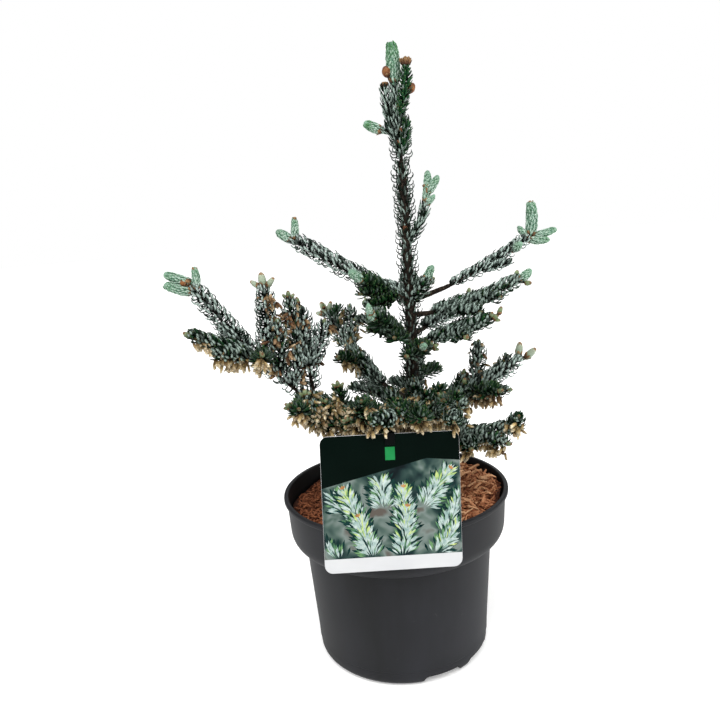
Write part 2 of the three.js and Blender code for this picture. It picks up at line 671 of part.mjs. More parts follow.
// ---------------------------------------------------------------- assembly

addNode('pot', makePot(), COLOURS.plastic, 0.5);
addNode('bark_mulch', makeSoil([makeClip(GAP)]), COLOURS.mulch, 0.95);
addNode('trunk', trunkSolid(0), COLOURS.bark);
addNode('label_card', makeCard(), COLOURS.card, 0.35);
addNode('label_clip', makeClip(), COLOURS.plastic, 0.3);

const trunkRoom = trunkSolid(GAP);

BOUGHS.forEach((plan, i) => growBough(plan, SEEDS.boughs + SEEDS.step * i));
TRUNK_SHOOTS.forEach((plan, i) => growBough(plan, SEEDS.trunkShoots + SEEDS.step * i));
masses.forEach(growStem);
for (const { name: owner, from, to } of SLEEVES) {
  for (let z = from; z <= to; z += 2.5) taken.push({ owner, kind: 'shoot', point: trunkAt(z), radius: 0 });
}
masses.forEach(growSideShoots);

for (const [name, { curve, bare, parent, radiusAt }] of limbs) {
  const limbSolid = (limb, grow, sides) => {
    const [foot, tip] = [limb.radiusAt(0) + grow, limb.radiusAt(limb.bare) + grow];
    return taper(limb.curve, 0, limb.bare, foot, tip, sides);
  };
  const room = parent ? limbSolid(parent, GAP, 9) : trunkRoom;
  addNode(`bough_${name}`, limbSolid({ curve, bare, radiusAt }, 0, LIMB.sides).subtract(room), COLOURS.bark);
}
for (const mass of masses) {
  const needles = massSolid(mass);
  addNode(`needles_${mass.plan.name}`, mass.bare ? needles : needles.subtract(trunkRoom), COLOURS.needles);
}
SLEEVES.forEach((sleeve, i) => {
  const needles = sleeveSolid(sleeve, seededNumbers(SEEDS.sleeves + SEEDS.step * i));
  addNode(`needles_${sleeve.name}`, needles.subtract(trunkRoom), COLOURS.needles);
});

export default plant;
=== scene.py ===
"""The looks of a young Korean fir, of the kind whose needles curl up to show their silver backs, in its
nursery pot with bark mulch on the soil and a picture label clipped to the rim.

Sizes are in millimetres until they reach a mesh. The plant grows by one seeded rule, from a table of
boughs: a stem for each bough, side shoots on it, short tufts, and then needles, buds and old pollen
cones on every shoot. The pieces of the solid model, which these meshes stand for, come from model.glb.
"""

import math

import bmesh
import bpy
import numpy as np
from mathutils import Matrix, Vector


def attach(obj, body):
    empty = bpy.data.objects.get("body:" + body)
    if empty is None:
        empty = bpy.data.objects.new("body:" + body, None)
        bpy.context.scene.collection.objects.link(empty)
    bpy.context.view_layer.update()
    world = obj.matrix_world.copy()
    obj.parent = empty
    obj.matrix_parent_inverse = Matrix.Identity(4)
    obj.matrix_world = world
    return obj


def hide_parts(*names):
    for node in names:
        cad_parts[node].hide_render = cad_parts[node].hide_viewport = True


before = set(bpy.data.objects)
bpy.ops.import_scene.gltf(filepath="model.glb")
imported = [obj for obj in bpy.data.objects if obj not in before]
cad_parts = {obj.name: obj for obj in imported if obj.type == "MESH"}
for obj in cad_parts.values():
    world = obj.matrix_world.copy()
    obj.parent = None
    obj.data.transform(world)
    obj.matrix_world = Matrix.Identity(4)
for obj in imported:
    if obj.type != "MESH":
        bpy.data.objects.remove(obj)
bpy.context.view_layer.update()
NODES = sorted(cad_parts)
MM = 0.001

# ---------------------------------------------------------------- sizes

# The pot: outer radii of its rim, collar band and foot, their heights, the moulded line's height, and, as
# (radius, height), the body's top and the ledge over the drains, inside of which the floor is lower.
POT = {
    "height": 141.7, "rim": 95, "lip": 3.4, "band_foot": 112, "band": 91.2, "body_top": (79.6, 100),
    "foot": 72.7, "foot_round": 6.5, "wall": 1.9, "floor": 2.5, "ledge": (50, 9), "line": 12.5,
}
# The drain notches: where they stand round the foot and half their width, in degrees, their height, how
# far in they cut, and the holes over them.
NOTCH = {"angles": (-65, -31, 115, 149), "half": 13, "height": 6.4, "inner": 53, "drain": 4, "drain_at": 61}
# The root ball: the heights of its top at the pot's wall and at its crown, the radius that the top
# reaches, and the rings below it, as (radius, height).
SOIL = {"rim": 127.5, "crown": 130.2, "edge": 88.6, "ball": ((78.6, 101.5), (71.8, 9.4), (50.0, 9.4))}

# Stations of the trunk's axis, as height and sideways lean, and of the bulk that needles keep clear of,
# as height and radius.
TRUNK = {
    "stations": ((130, 9), (160, 13), (195, 16.5), (240, 20), (300, 21), (378, 20), (408, 19.6)),
    "bulk": ((130, 9.5), (140, 6.6), (408, 3.0)),
    "flare": 9.5, "base": 6.4, "tip": 3.0,
}
# Radii of a bare bough, at its foot and where its needles start, and of twigs, at their start and tip.
LIMB = (2.7, 1.7)
TWIG = (1.5, 0.7)
SIDE_TWIG = (1.0, 0.6)

# The label: the card, with its middle as (x, height) and its turns in degrees, and the clip that laps over
# its upper edge, with the height of its foot and how far behind the card that stands.
CARD = {"width": 100, "height": 100, "thick": 0.8, "corner": 6, "centre": (-3, 166.3),
        "lean": 7, "turn": 5.4, "roll": -1.9}
CLIP = {"width": 7, "strip": 1.5, "lap": 8, "foot": 108, "inset": 20}
GAP = 0.3  # between parts that all but touch
GOLDEN = 2.39996  # the turn from one needle to the next, in radians

# How each kind of shoot wears its needles. A needle leaves the shoot straight and then hooks over: silver
# shoots hook the most, dark ones show the needles' green upper faces, close ones have theirs pressed
# along the shoot. Lengths and half widths in mm, lean and curl in radians, straight is the share of a
# needle before its hook, dense the number of needles on a millimetre of shoot, frost how white they are,
# green how light, and turned the share of needles with their upper face outwards.
LOOKS = {
    "silver": {"length": 10.6, "half": 1.12, "lean": 0.12, "curl": 2.1, "straight": 0.5, "dense": 3.5,
               "frost": 1.0, "green": 0.2},
    "slim": {"length": 8.6, "half": 0.9, "lean": 0.42, "curl": 1.9, "straight": 0.45, "dense": 3.1,
             "frost": 1.0, "green": 0.2},
    "mixed": {"length": 10.0, "half": 1.1, "lean": 0.3, "curl": 1.6, "straight": 0.45, "dense": 3.2,
              "frost": 0.9, "green": 0.3, "turned": 0.15},
    "dark": {"length": 10.4, "half": 1.15, "lean": 0.34, "curl": 0.7, "straight": 0.2, "dense": 3.1,
             "frost": 0.5, "green": 0.5, "turned": 0.5},
    "close": {"length": 8.6, "half": 0.9, "lean": 0.85, "curl": 0.8, "straight": 0.2, "dense": 2.1,
              "frost": 0.95, "green": 0.3},
    "scaly": {"length": 7.0, "half": 0.9, "lean": 0.6, "curl": 0.6, "straight": 0.2, "dense": 4.2,
              "frost": 0.6, "green": 0.85, "turned": 0.85},
    "trunk": {"length": 9.4, "half": 0.7, "lean": -0.1, "curl": 2.3, "straight": 0.36, "dense": 1.6,
              "frost": 0.3, "green": 0.15},
}
# Looks whose needles are of the same material as another's.
MADE_OF = {"close": "mixed", "scaly": "mixed", "trunk": "mixed", "slim": "silver"}
# A newly grown shoot: its least and greatest radius and how that grows with its length, the length and
# half width of its needles and how many stand on a millimetre, and how much of a mint tip is new.
YOUNG = {"radius": (1.4, 6.9), "slope": 0.2, "needle": 4.6, "half": 0.8, "dense": 6.0, "tip": 14}
# Spent pollen cones: how many a bunch counts for, the least in one and the number that it doesn't reach,
# a cone's length, radius and stalk, and the share of a shoot that bunches stand on.
CONES = {"bunch": 7, "each": (7, 12), "length": (5.2, 8.4), "radius": (1.1, 1.65), "stalk": (2.0, 7.5),
         "top": 0.86, "top_in_front": 0.74}
STEEP = 0.75  # how much of a shoot's direction is upwards where it counts as upright
# Millimetres of a shoot that its needles leave to what stands on its tip.
TIP_ROOM = {"small": 3.5, "bud": 6.0, "buds": 8.0, "crown": 10.0, "cap": 5.0, "flat": 4.0}
# Young shoots that are only a bud on a bare stalk: the share of the shoot that the stalk takes, and its
# radii at its foot and under the bud.
STALKS = {"stalk": (0.8, (1.9, 1.6)), "bud": (0.6, (1.0, 0.8)), "plump": (0.6, (1.0, 0.8))}

# The boughs. From is a height on the trunk, or another bough and a share of it. Heading, run, rise and
# slopes lay out the stem, swing bends it sideways, and bare is the share of it that has no needles. A side
# shoot is (share of the stem, turn from its heading, lift, length, look, tip, and cones where they aren't
# the bough's). A young shoot is (share, turn, lift, length, tip, and then how stout it is and how far
# above the stem's line it starts). More and finer are the lesser side and young shoots that fill a mass,
# and tufts the number of short ones that the seed places. Cones is about the number of old pollen cones
# on a millimetre of shoot. Wears is another look for the stem's own needles, skirt where they start if
# that isn't where the bare wood ends, and sparse how far they thin out towards their start. Mint is the
# length of new growth at a mint tip, mint_from the share of the stem where new growth starts, and stout
# how thick that is.
BOUGHS = {
    "upper_left": {"from": 298, "heading": 175, "run": 104, "rise": 62, "slopes": (28, 34), "bare": 0.13,
                   "look": "silver", "tip": "mint",
                   "shoots": ((0.15, 51, 26, 46, "dark", "mint"), (0.2, -50, 8, 40, "silver", "buds")),
                   "young": ((0.88, 185, 84, 18, "scales", 0.62),),
                   "more": ((0.13, 44, 6, 34, "dark", "small"), (0.07, 38, -6, 32, "dark", "small"))},
    "upper_left_low": {"from": 263, "heading": -124, "run": 58, "rise": 34, "slopes": (32, 34), "bare": 0.2,
                       "look": "dark", "tip": "mint", "mint": 9,
                       "shoots": ((0.45, -42, 8, 22, "dark", "small"),),
                       "more": ((0.25, 20, 10, 28, "dark", "small"), (0.3, -30, 30, 26, "dark", "small")),
                       "young": ((0.96, 20, 60, 9, None, 0.8),)},
    "upper_right": {"from": 299, "heading": 11, "run": 103, "rise": 44, "slopes": (12, 32), "bare": 0.3,
                    "look": "silver", "wears": "slim", "tip": "scales", "sparse": 0.6,
                    "shoots": ((0.55, -14, 12, 27, "slim", None),),
                    "young": ((1, 0, 88, 27, "scales", 0.8), (1, -8, 12, 21, None, 0.62),
                              (0.97, -22, -6, 17, None, 0.7), (0.99, 169, 45, 11, None, 0.8),
                              (0.84, -70, 24, 11, None))},
    "mid_right": {"from": 287, "heading": -17, "run": 88, "rise": 26, "slopes": (4, 30), "bare": 0.2,
                  "look": "mixed", "tip": "scales", "shoots": ((0.45, 40, 14, 30, "mixed", "bud"),),
                  "more": ((0.3, -24, 0, 36, "mixed", "small"), (0.6, -28, 10, 24, "mixed", "small")),
                  "young": ((0.93, 60, 60, 12, "bud"), (0.97, 10, 40, 12, None), (0.98, -30, -6, 12, "bud"))},
    "mid_right_low": {"from": 264, "heading": -36, "run": 79, "rise": 26, "slopes": (8, 28), "bare": 0.2,
                      "look": "mixed", "tip": "buds", "shoots": ((0.5, -40, 4, 28, "mixed", "bud"),),
                      "more": ((0.25, 26, 26, 34, "mixed", "small"), (0.5, 26, 24, 26, "mixed", "small")),
                      "young": ((0.97, 20, 60, 8, "bud"),)},
    "upper_back": {"from": 292, "heading": 88, "run": 90, "rise": 26, "slopes": (10, 26), "bare": 0.2,
                   "look": "silver", "tip": "mint",
                   "shoots": ((0.4, 42, 12, 38, "silver", "bud"), (0.5, -42, 12, 36, "mixed", "buds")),
                   "young": ((0.97, 0, 60, 10, "bud"),)},
    "upper_back_left": {"from": 266, "heading": 124, "run": 70, "rise": 28, "slopes": (8, 26), "bare": 0.2,
                        "look": "mixed", "tip": "buds", "shoots": ((0.45, 38, 10, 32, "mixed", "bud"),)},
    "upper_back_right": {"from": 271, "heading": 50, "run": 86, "rise": 20, "slopes": (6, 20), "bare": 0.2,
                         "look": "silver", "tip": "buds", "shoots": ((0.45, 35, 12, 34, "mixed", "bud"),),
                         "young": ((0.97, 0, 60, 10, "bud"),)},
    "left": {"from": 200, "heading": -170, "run": 166, "rise": 123, "slopes": (-8, 54), "swing": 10,
             "bare": 0.46, "look": "silver", "tip": "scales", "sparse": 0.6,
             "shoots": ((0.7, 23, 24, 58, "mixed", "bud", 1.6), (0.66, 93, 22, 30, "dark", "bud", 1.6),
                        (0.72, -50, 25, 40, "silver", "bud", 0.2),
                        (0.65, 168, 86, 68, "silver", "crown", 0.55)),
             "young": ((1, 8, 19, 21, None, 0.76, -3.2), (1, -6, 21, 21, None, 0.76, 4),
                       (0.985, 170, 86, 17, "scales", 0.68), (0.995, 10, 38, 11, "stalk", 0.75),
                       (0.93, -60, 50, 10, "bud")),
             "more": ((0.69, 34, 12, 40, "mixed", "small", 1.6), (0.57, 100, 84, 50, "mixed", "bud", 0.8),
                      (0.52, -150, 74, 34, "silver", "small", 0.3))},
    "left_up": {"from": ("left", 0.42), "heading": 120, "run": 12, "rise": 78, "slopes": (80, 84),
                "bare": 0.2, "skirt": 0.03, "look": "silver", "tip": "bud", "sparse": 0.75, "cones": 0.55,
                "shoots": ((0.34, 50, 79, 64, "mixed", "buds", 0.6),
                           (0.36, -70, 58, 42, "silver", "bud", 0.4)),
                "young": ((0.98, 60, 70, 8, "bud"),)},
    "front_left": {"from": 188, "heading": -145, "run": 114, "rise": 48, "slopes": (4, 36), "bare": 0.27,
                   "look": "dark", "tip": "buds", "tufts": 5, "cones": 1.5,
                   "shoots": ((0.72, -10, 66, 30, "mixed", "buds"), (0.45, 5, 72, 47, "dark", "buds"),
                              (0.58, 5, 60, 32, "dark", "buds")),
                   "more": ((0.2, 40, 62, 32, "dark", "small"), (0.34, -20, 66, 30, "dark", "small"))},
    "front_left_mid": {"from": 196, "heading": -122, "run": 94, "rise": 31, "slopes": (4, 30), "bare": 0.3,
                       "look": "dark", "tip": "buds", "tufts": 5, "cones": 1.5,
                       "shoots": ((0.5, 38, 12, 42, "dark", "bud"),),
                       "more": ((0.14, -20, 74, 36, "mixed", "small"), (0.3, 50, 60, 34, "dark", "bud"),
                                (0.45, -40, 64, 30, "dark", "small"), (0.66, 30, 58, 26, "dark", "small"))},
    "front": {"from": 187, "heading": -91, "run": 75, "rise": 42, "slopes": (10, 36), "bare": 0.32,
              "look": "mixed", "tip": "bud", "tufts": 4, "cones": 1.5,
              "shoots": ((0.45, 14, 50, 34, "mixed", "bud"),),
              "more": ((0.14, 40, 76, 38, "mixed", "small"), (0.28, -50, 62, 34, "dark", "bud"),
                       (0.5, 62, 60, 28, "dark", "small"), (0.68, -30, 55, 26, "mixed", "small"),
                       (0.95, -49, 2, 40, "mixed", "small", 1.2), (0.95, 22, 4, 27, "dark", "small", 1.1))},
    "front_right": {"from": 200, "heading": -66, "run": 72, "rise": 27, "slopes": (6, 30), "bare": 0.32,
                    "look": "mixed", "tip": "bud", "tufts": 4, "cones": 1.5,
                    "shoots": ((0.42, 10, 50, 34, "dark", "buds"),),
                    "more": ((0.12, -30, 78, 38, "mixed", "small"), (0.3, 55, 62, 34, "dark", "small"),
                             (0.5, -45, 64, 30, "mixed", "small"), (0.7, 40, 52, 26, "dark", "small"),
                             (0.93, -24, -4, 29, "mixed", "small", 1.1))},
    "right": {"from": 208, "heading": -6, "run": 90, "rise": 40, "slopes": (4, 36), "bare": 0.26,
              "look": "silver", "tip": None, "cones": 0.2,
              "shoots": ((0.56, 75, 64, 42, "mixed", "bud", 0.9), (0.5, -48, 12, 40, "dark", "bud", 1.3),
                         (0.36, 20, 66, 26, "mixed", "bud"), (0.4, -60, 55, 22, "mixed", "bud")),
              "young": ((0.93, 10, 72, 19, "plump"), (0.98, 0, 34, 17, "plump"))},
    "right_low": {"from": 189, "heading": -28, "run": 95, "rise": 14, "slopes": (0, 26), "bare": 0.28,
                  "look": "mixed", "wears": "mixed", "tip": "bud", "tufts": 2, "cones": 1.0,
                  "shoots": ((0.6, -22, 0, 36, "mixed", "bud"), (0.5, -58, -8, 28, "mixed", "bud"))},
    "back_left": {"from": 216, "heading": 141, "run": 95, "rise": 76, "slopes": (10, 56), "bare": 0.25,
                  "look": "mixed", "tip": "crown", "tufts": 2, "cones": 0.3,
                  "shoots": ((0.62, -61, 74, 41, "mixed", "bud", 0.8), (0.5, 93, 20, 34, "dark", "bud", 0.9)),
                  "young": ((0.93, 60, 70, 11, "bud"),)},
    "back_left_low": {"from": 190, "heading": 156, "run": 112, "rise": 24, "slopes": (4, 18), "bare": 0.24,
                      "look": "mixed", "tip": "bud", "tufts": 2, "cones": 0.4,
                      "shoots": ((0.5, 35, 6, 44, "dark", "bud"), (0.6, -35, 8, 38, "mixed", "bud"))},
    "back": {"from": 209, "heading": 84, "run": 118, "rise": 28, "slopes": (6, 22), "bare": 0.22,
             "look": "mixed", "tip": "buds", "tufts": 2, "cones": 0.4,
             "shoots": ((0.4, 36, -6, 46, "mixed", "bud"), (0.55, -36, 2, 40, "dark", "bud"))},
    "back_right": {"from": 196, "heading": 34, "run": 112, "rise": 28, "slopes": (4, 22), "bare": 0.24,
                   "look": "mixed", "tip": "bud", "tufts": 2, "cones": 0.4,
                   "shoots": ((0.4, 38, 10, 44, "dark", "bud"), (0.55, -36, 6, 40, "mixed", "bud"))},
    "back_side": {"from": 203, "heading": 116, "run": 104, "rise": 22, "slopes": (4, 18), "bare": 0.24,
                  "look": "mixed", "tip": "bud", "tufts": 2, "cones": 0.3,
                  "shoots": ((0.5, 30, 4, 40, "mixed", "bud"),)},
}

# Shoots that stand on the trunk itself.
TRUNK_SHOOTS = {
    "leader": {"from": 408, "heading": 190, "run": 3, "rise": 86, "slopes": (88, 88),
               "look": "close", "tip": None, "mint_from": 0.66, "stout": 0.88,
               "shoots": ((0.1, -5, 79, 50, "close", "flat"), (0.34, 130, 76, 43, "scaly", "cap")),
               "more": ((0.22, -8, 22, 27, "close", "mint"), (0.06, -60, 72, 40, "close", "small"),
                        (0.04, 150, 80, 30, "scaly", "small")),
               "young": ((0.66, 10, 56, 12, "stalk"),), "finer": ((0.5, 160, 40, 16, "stalk"),)},
    "trunk_right": {"from": 345, "heading": -18, "run": 19, "rise": 44, "slopes": (38, 82),
                    "look": "mixed", "wears": "close", "tip": None, "mint_from": 0.72, "stout": 0.72,
                    "young": ((0.86, -10, 50, 15, None, 0.75), (0.9, 70, 80, 14, None, 0.75),
                              (0.7, -14, 34, 9, None, 0.8))},
    "trunk_right_bud": {"from": 301, "heading": -26, "run": 20, "rise": 24, "slopes": (30, 60),
                        "look": "mixed", "tip": None, "mint_from": 0.63},
    "front_small": {"from": 255, "heading": -76, "run": 36, "rise": 13, "slopes": (10, 24),
                    "look": "dark", "tip": "mint", "mint": 8,
                    "shoots": ((0.4, -40, 4, 24, "dark", "bud"), (0.45, 60, 20, 18, "dark", "buds"))},
}

# Needles that stand on the trunk itself, as (from, to, look, on a millimetre): hooks all round it and,
# among them, a few pressed to the bark.
TRUNK_NEEDLES = ((222, 252, "trunk", 1.8), (252, 310, "trunk", 1.5), (310, 406, "trunk", 1.7),
                 (222, 337, "close", 0.9), (337, 406, "close", 1.2), (406, 444, "trunk", 1.8))
# Resting buds and scars of buds on the trunk and its leader, as (height, heading, length).
TRUNK_KNOBS = ((354, -98, 3.8), (419, -112, 3.6), (428, -80, 3.4), (445, -92, 3.6))

# The bed of mulch over the root ball: the height of its waves, how far they start below the ball's top,
# the loose layer on them, and how much it is heaped on the right and, beyond that, at the rim there.
BED = {"wave": 0.75, "sunk": 1.2, "loose": 1.5, "right": 6.0, "right_rim": 4.0}
# Loose mulch: chips on a square metre, the smallest and the largest, their tilt in radians, their darkest
# and palest tint, how far out they lie, from which line to which in x, and the cuts along a chip.
# The fine shreds on the left get darker tints than the shreds and strips on the right: painted light.
MULCH_LOTS = {
    "mulch_crumbs": {"dense": 170000, "smallest": (2.5, 0.8, 0.6), "largest": (6.0, 1.6, 1.3), "tilt": 0.6,
                     "tints": (-0.12, 0.38), "within": 87.5, "between": (-100, 100), "cuts": 1, "seed": 12},
    "mulch_shreds_fine": {"dense": 190000, "smallest": (4, 0.8, 0.7), "largest": (8, 1.5, 1.2), "tilt": 0.7,
                          "tints": (-0.2, 0.55), "within": 85, "between": (-100, 20), "cuts": 3, "seed": 17},
    "mulch_shreds": {"dense": 150000, "smallest": (6, 0.9, 0.8), "largest": (13, 1.9, 1.5), "tilt": 0.8,
                     "tints": (-0.14, 0.82), "within": 87, "between": (4, 100), "cuts": 3, "seed": 12},
    "mulch_strips": {"dense": 52000, "smallest": (10, 1.4, 0.9), "largest": (20, 2.8, 1.8), "tilt": 0.65,
                     "tints": (-0.02, 1.1), "within": 83, "between": (12, 100), "cuts": 3, "seed": 12},
}
SEEDS = {"boughs": 11, "trunk_shoots": 511, "step": 7, "finer": 4001, "bed": 77, "print": 5}

# Where each mass of needles is joined to others in one piece.
REGIONS = {
    "top": ("leader", "trunk_right", "trunk_right_bud", "trunk_low", "trunk_mid", "trunk_high"),
    "upper": ("upper_left", "upper_left_low", "upper_right", "mid_right", "mid_right_low",
              "upper_back", "upper_back_left", "upper_back_right", "front_small"),
    "left": ("left", "left_up"),
    "front": ("front_left", "front_left_mid", "front", "front_right"),
    "right": ("right", "right_low"),
    "back": ("back_left", "back_left_low", "back", "back_right", "back_side"),
}
REGION_OF = {mass: region for region, masses in REGIONS.items() for mass in masses}

# ---------------------------------------------------------------- small tools

VECTOR = "ShaderNodeVectorMath"
SCALAR = "ShaderNodeMath"
SPAN = "ShaderNodeMapRange"
NOISE = "ShaderNodeTexNoise"
RAMP = "ShaderNodeValToRGB"
BLEND = "ShaderNodeMix"
TOLD = "ShaderNodeAttribute"
STORE = "GeometryNodeStoreNamedAttribute"
STORED = "GeometryNodeInputNamedAttribute"


def linear(colour):
    """An sRGB hex colour, or a number for that much light, as linear RGBA."""
    if not isinstance(colour, str):
        return (colour, colour, colour, 1.0)
    parts = [int(colour[i:i + 2], 16) / 255 for i in (1, 3, 5)]
    return tuple(p / 12.92 if p <= 0.04045 else ((p + 0.055) / 1.055) ** 2.4 for p in parts) + (1.0,)


def fill(tree, node, inputs):
    """Fills a node's inputs. One given a node or a socket is linked, and any other value is set."""
    for key, value in inputs.items():
        if isinstance(value, bpy.types.Node):
            value = next(socket for socket in value.outputs if socket.enabled)
        if isinstance(value, bpy.types.NodeSocket):
            tree.links.new(value, node.inputs[key])
        else:
            node.inputs[key].default_value = value


def add(tree, kind, inputs=None, stops=(), **settings):
    """Adds a node with its settings, its inputs and, for a ramp, its stops as (place, colour)."""
    node = tree.nodes.new(kind)
    for name, value in settings.items():
        setattr(node, name, value)
    fill(tree, node, inputs or {})
    if stops:
        ramp = node.color_ramp.elements
        for end, (place, colour) in zip(ramp, (stops[0], stops[-1])):
            end.position, end.color = place, linear(colour)
        for place, colour in stops[1:-1]:
            ramp.new(place).color = linear(colour)
    return node


def every(mm):
    """The scale of a pattern whose marks are so many millimetres apart, to the nearest whole number."""
    return float(round(1000 / mm))


def seeded(seed):
    """A seeded row of numbers from 0 to 1."""
    state = seed
    while True:
        state = state * 16807 % 2147483647
        yield state / 2147483647


def unit(vectors):
    return vectors / np.linalg.norm(vectors, axis=-1, keepdims=True)


def heading(degrees, lift):
    a, b = math.radians(degrees), math.radians(lift)
    return np.array((math.cos(a) * math.cos(b), math.sin(a) * math.cos(b), math.sin(b)))


def mix(a, b, share):
    return a + (b - a) * share


def new_object(name, mesh):
    thing = bpy.data.objects.new(name, mesh)
    bpy.context.scene.collection.objects.link(thing)
    return thing


def plain_mesh(name, vertices, faces, smooth=True):
    """A mesh from points in millimetres."""
    mesh = bpy.data.meshes.new(name)
    mesh.from_pydata([tuple(MM * c for c in v) for v in vertices], [], faces)
    mesh.validate()
    mesh.polygons.foreach_set("use_smooth", [smooth] * len(mesh.polygons))
    mesh.update()
    return mesh


def prism(name, near, far, smooth=True):
    """A closed mesh between two outlines of as many points."""
    count = len(near)
    faces = [list(range(count)), list(range(2 * count - 1, count - 1, -1))]
    faces += [[i, i + count, (i + 1) % count + count, (i + 1) % count] for i in range(count)]
    return plain_mesh(name, near + far, faces, smooth)


def face_outwards(mesh, soften=0.0):
    """Turns a closed mesh's faces outwards, and softens its edges by so many millimetres."""
    shell = bmesh.new()
    shell.from_mesh(mesh)
    bmesh.ops.recalc_face_normals(shell, faces=shell.faces)
    if soften:
        bmesh.ops.bevel(shell, geom=shell.edges[:], offset=soften * MM, segments=2, affect="EDGES",
                        profile=0.6)
    shell.to_mesh(mesh)
    shell.free()
    return mesh


def mesh_of(shape, name):
    """A mesh of a shape that bmesh made."""
    mesh = bpy.data.meshes.new(name)
    shape.to_mesh(mesh)
    shape.free()
    return mesh


# ---------------------------------------------------------------- materials


def material(name):
    """A new material with its shader, as (material, tree, shader)."""
    made = bpy.data.materials.new(name)
    made.use_nodes = True
    return made, made.node_tree, made.node_tree.nodes["Principled BSDF"]


def polypropylene():
    """Recycled polypropylene, injection moulded: charcoal, satin, with a fine pebbled grain, faint flow
    marks and a little dust from the potting bench. The inside is painted near black, as painted shade."""
    made, tree, shader = material("polypropylene_moulded")
    place = add(tree, "ShaderNodeTexCoord").outputs["Object"]
    flow = add(tree, "ShaderNodeMapping", {"Vector": place, "Scale": (1, 1, 0.25)})
    marks = add(tree, NOISE, {"Vector": flow, "Scale": every(35.7), "Detail": 5, "Roughness": 0.62})
    broad = add(tree, NOISE, {"Vector": place, "Scale": every(91), "Detail": 2, "Roughness": 0.5})
    dust = add(tree, NOISE, {"Vector": place, "Scale": every(7.14), "Detail": 6, "Roughness": 0.75})
    specks = add(tree, RAMP, {"Fac": dust}, stops=((0.64, 0.0), (0.8, 1.0)))
    both = add(tree, SCALAR, {0: marks, 1: broad}, operation="ADD")
    worn = add(tree, SPAN, {"Value": both, "From Min": 0.75, "From Max": 1.25})
    tone = add(tree, RAMP, {"Fac": worn}, stops=((0.0, "#17181a"), (1.0, "#232428")))
    haze = add(tree, SCALAR, {0: specks, 1: 0.2}, operation="MULTIPLY")
    colour = add(tree, BLEND, {"Factor": haze, "A": tone, "B": linear("#7c7a74")}, data_type="RGBA")
    # Faces turned towards the pot's axis get a near-black colour: painted shade inside the pot.
    level = add(tree, VECTOR, {0: place, 1: (1, 1, 0)}, operation="MULTIPLY")
    normal = add(tree, "ShaderNodeNewGeometry").outputs["Normal"]
    outward = add(tree, VECTOR, {0: level, 1: normal}, operation="DOT_PRODUCT")
    inside = add(tree, SCALAR, {0: outward, 1: -0.02}, operation="LESS_THAN")
    colour = add(tree, BLEND, {"Factor": inside, "A": colour, "B": linear("#08090a")}, data_type="RGBA")
    rough = add(tree, SPAN, {"Value": marks, "To Min": 0.48, "To Max": 0.64})
    # The moulded grain is finer than this, and is drawn as coarse as it needs to show.
    grain = add(tree, NOISE, {"Vector": place, "Scale": every(0.625), "Detail": 2})
    bump = add(tree, "ShaderNodeBump", {"Height": grain, "Strength": 0.12, "Distance": 0.0002})
    fill(tree, shader, {"Base Color": colour, "Roughness": rough, "Normal": bump, "Specular IOR Level": 0.16})
    return made


def bark():
    """Young fir bark: dull grey-brown, lightest on the newest wood, with raised resin blisters and the
    round scars that fallen needles leave."""
    made, tree, shader = material("young_fir_bark")
    place = add(tree, "ShaderNodeTexCoord").outputs["Object"]
    stretched = add(tree, "ShaderNodeMapping", {"Vector": place, "Scale": (1, 1, 0.45)})
    plates = add(tree, NOISE, {"Vector": stretched, "Scale": every(2.38), "Detail": 6, "Roughness": 0.7})
    scars = add(tree, "ShaderNodeTexVoronoi", {"Vector": stretched, "Scale": every(1.613)}, feature="F1")
    tone = add(tree, RAMP, {"Fac": plates}, stops=((0.3, "#0d0a08"), (0.52, "#211a14"), (0.72, "#463b31")))
    rim = add(tree, SPAN, {"Value": scars, "From Max": 0.35})
    colour = add(tree, BLEND, {"Factor": rim, "A": linear("#57493c"), "B": tone}, data_type="RGBA")
    height = add(tree, SCALAR, {0: plates, 1: rim}, operation="ADD")
    bump = add(tree, "ShaderNodeBump", {"Height": height, "Strength": 0.6, "Distance": 0.0005})
    fill(tree, shader, {"Base Color": colour, "Normal": bump, "Roughness": 0.82, "Specular IOR Level": 0.15})
    return made


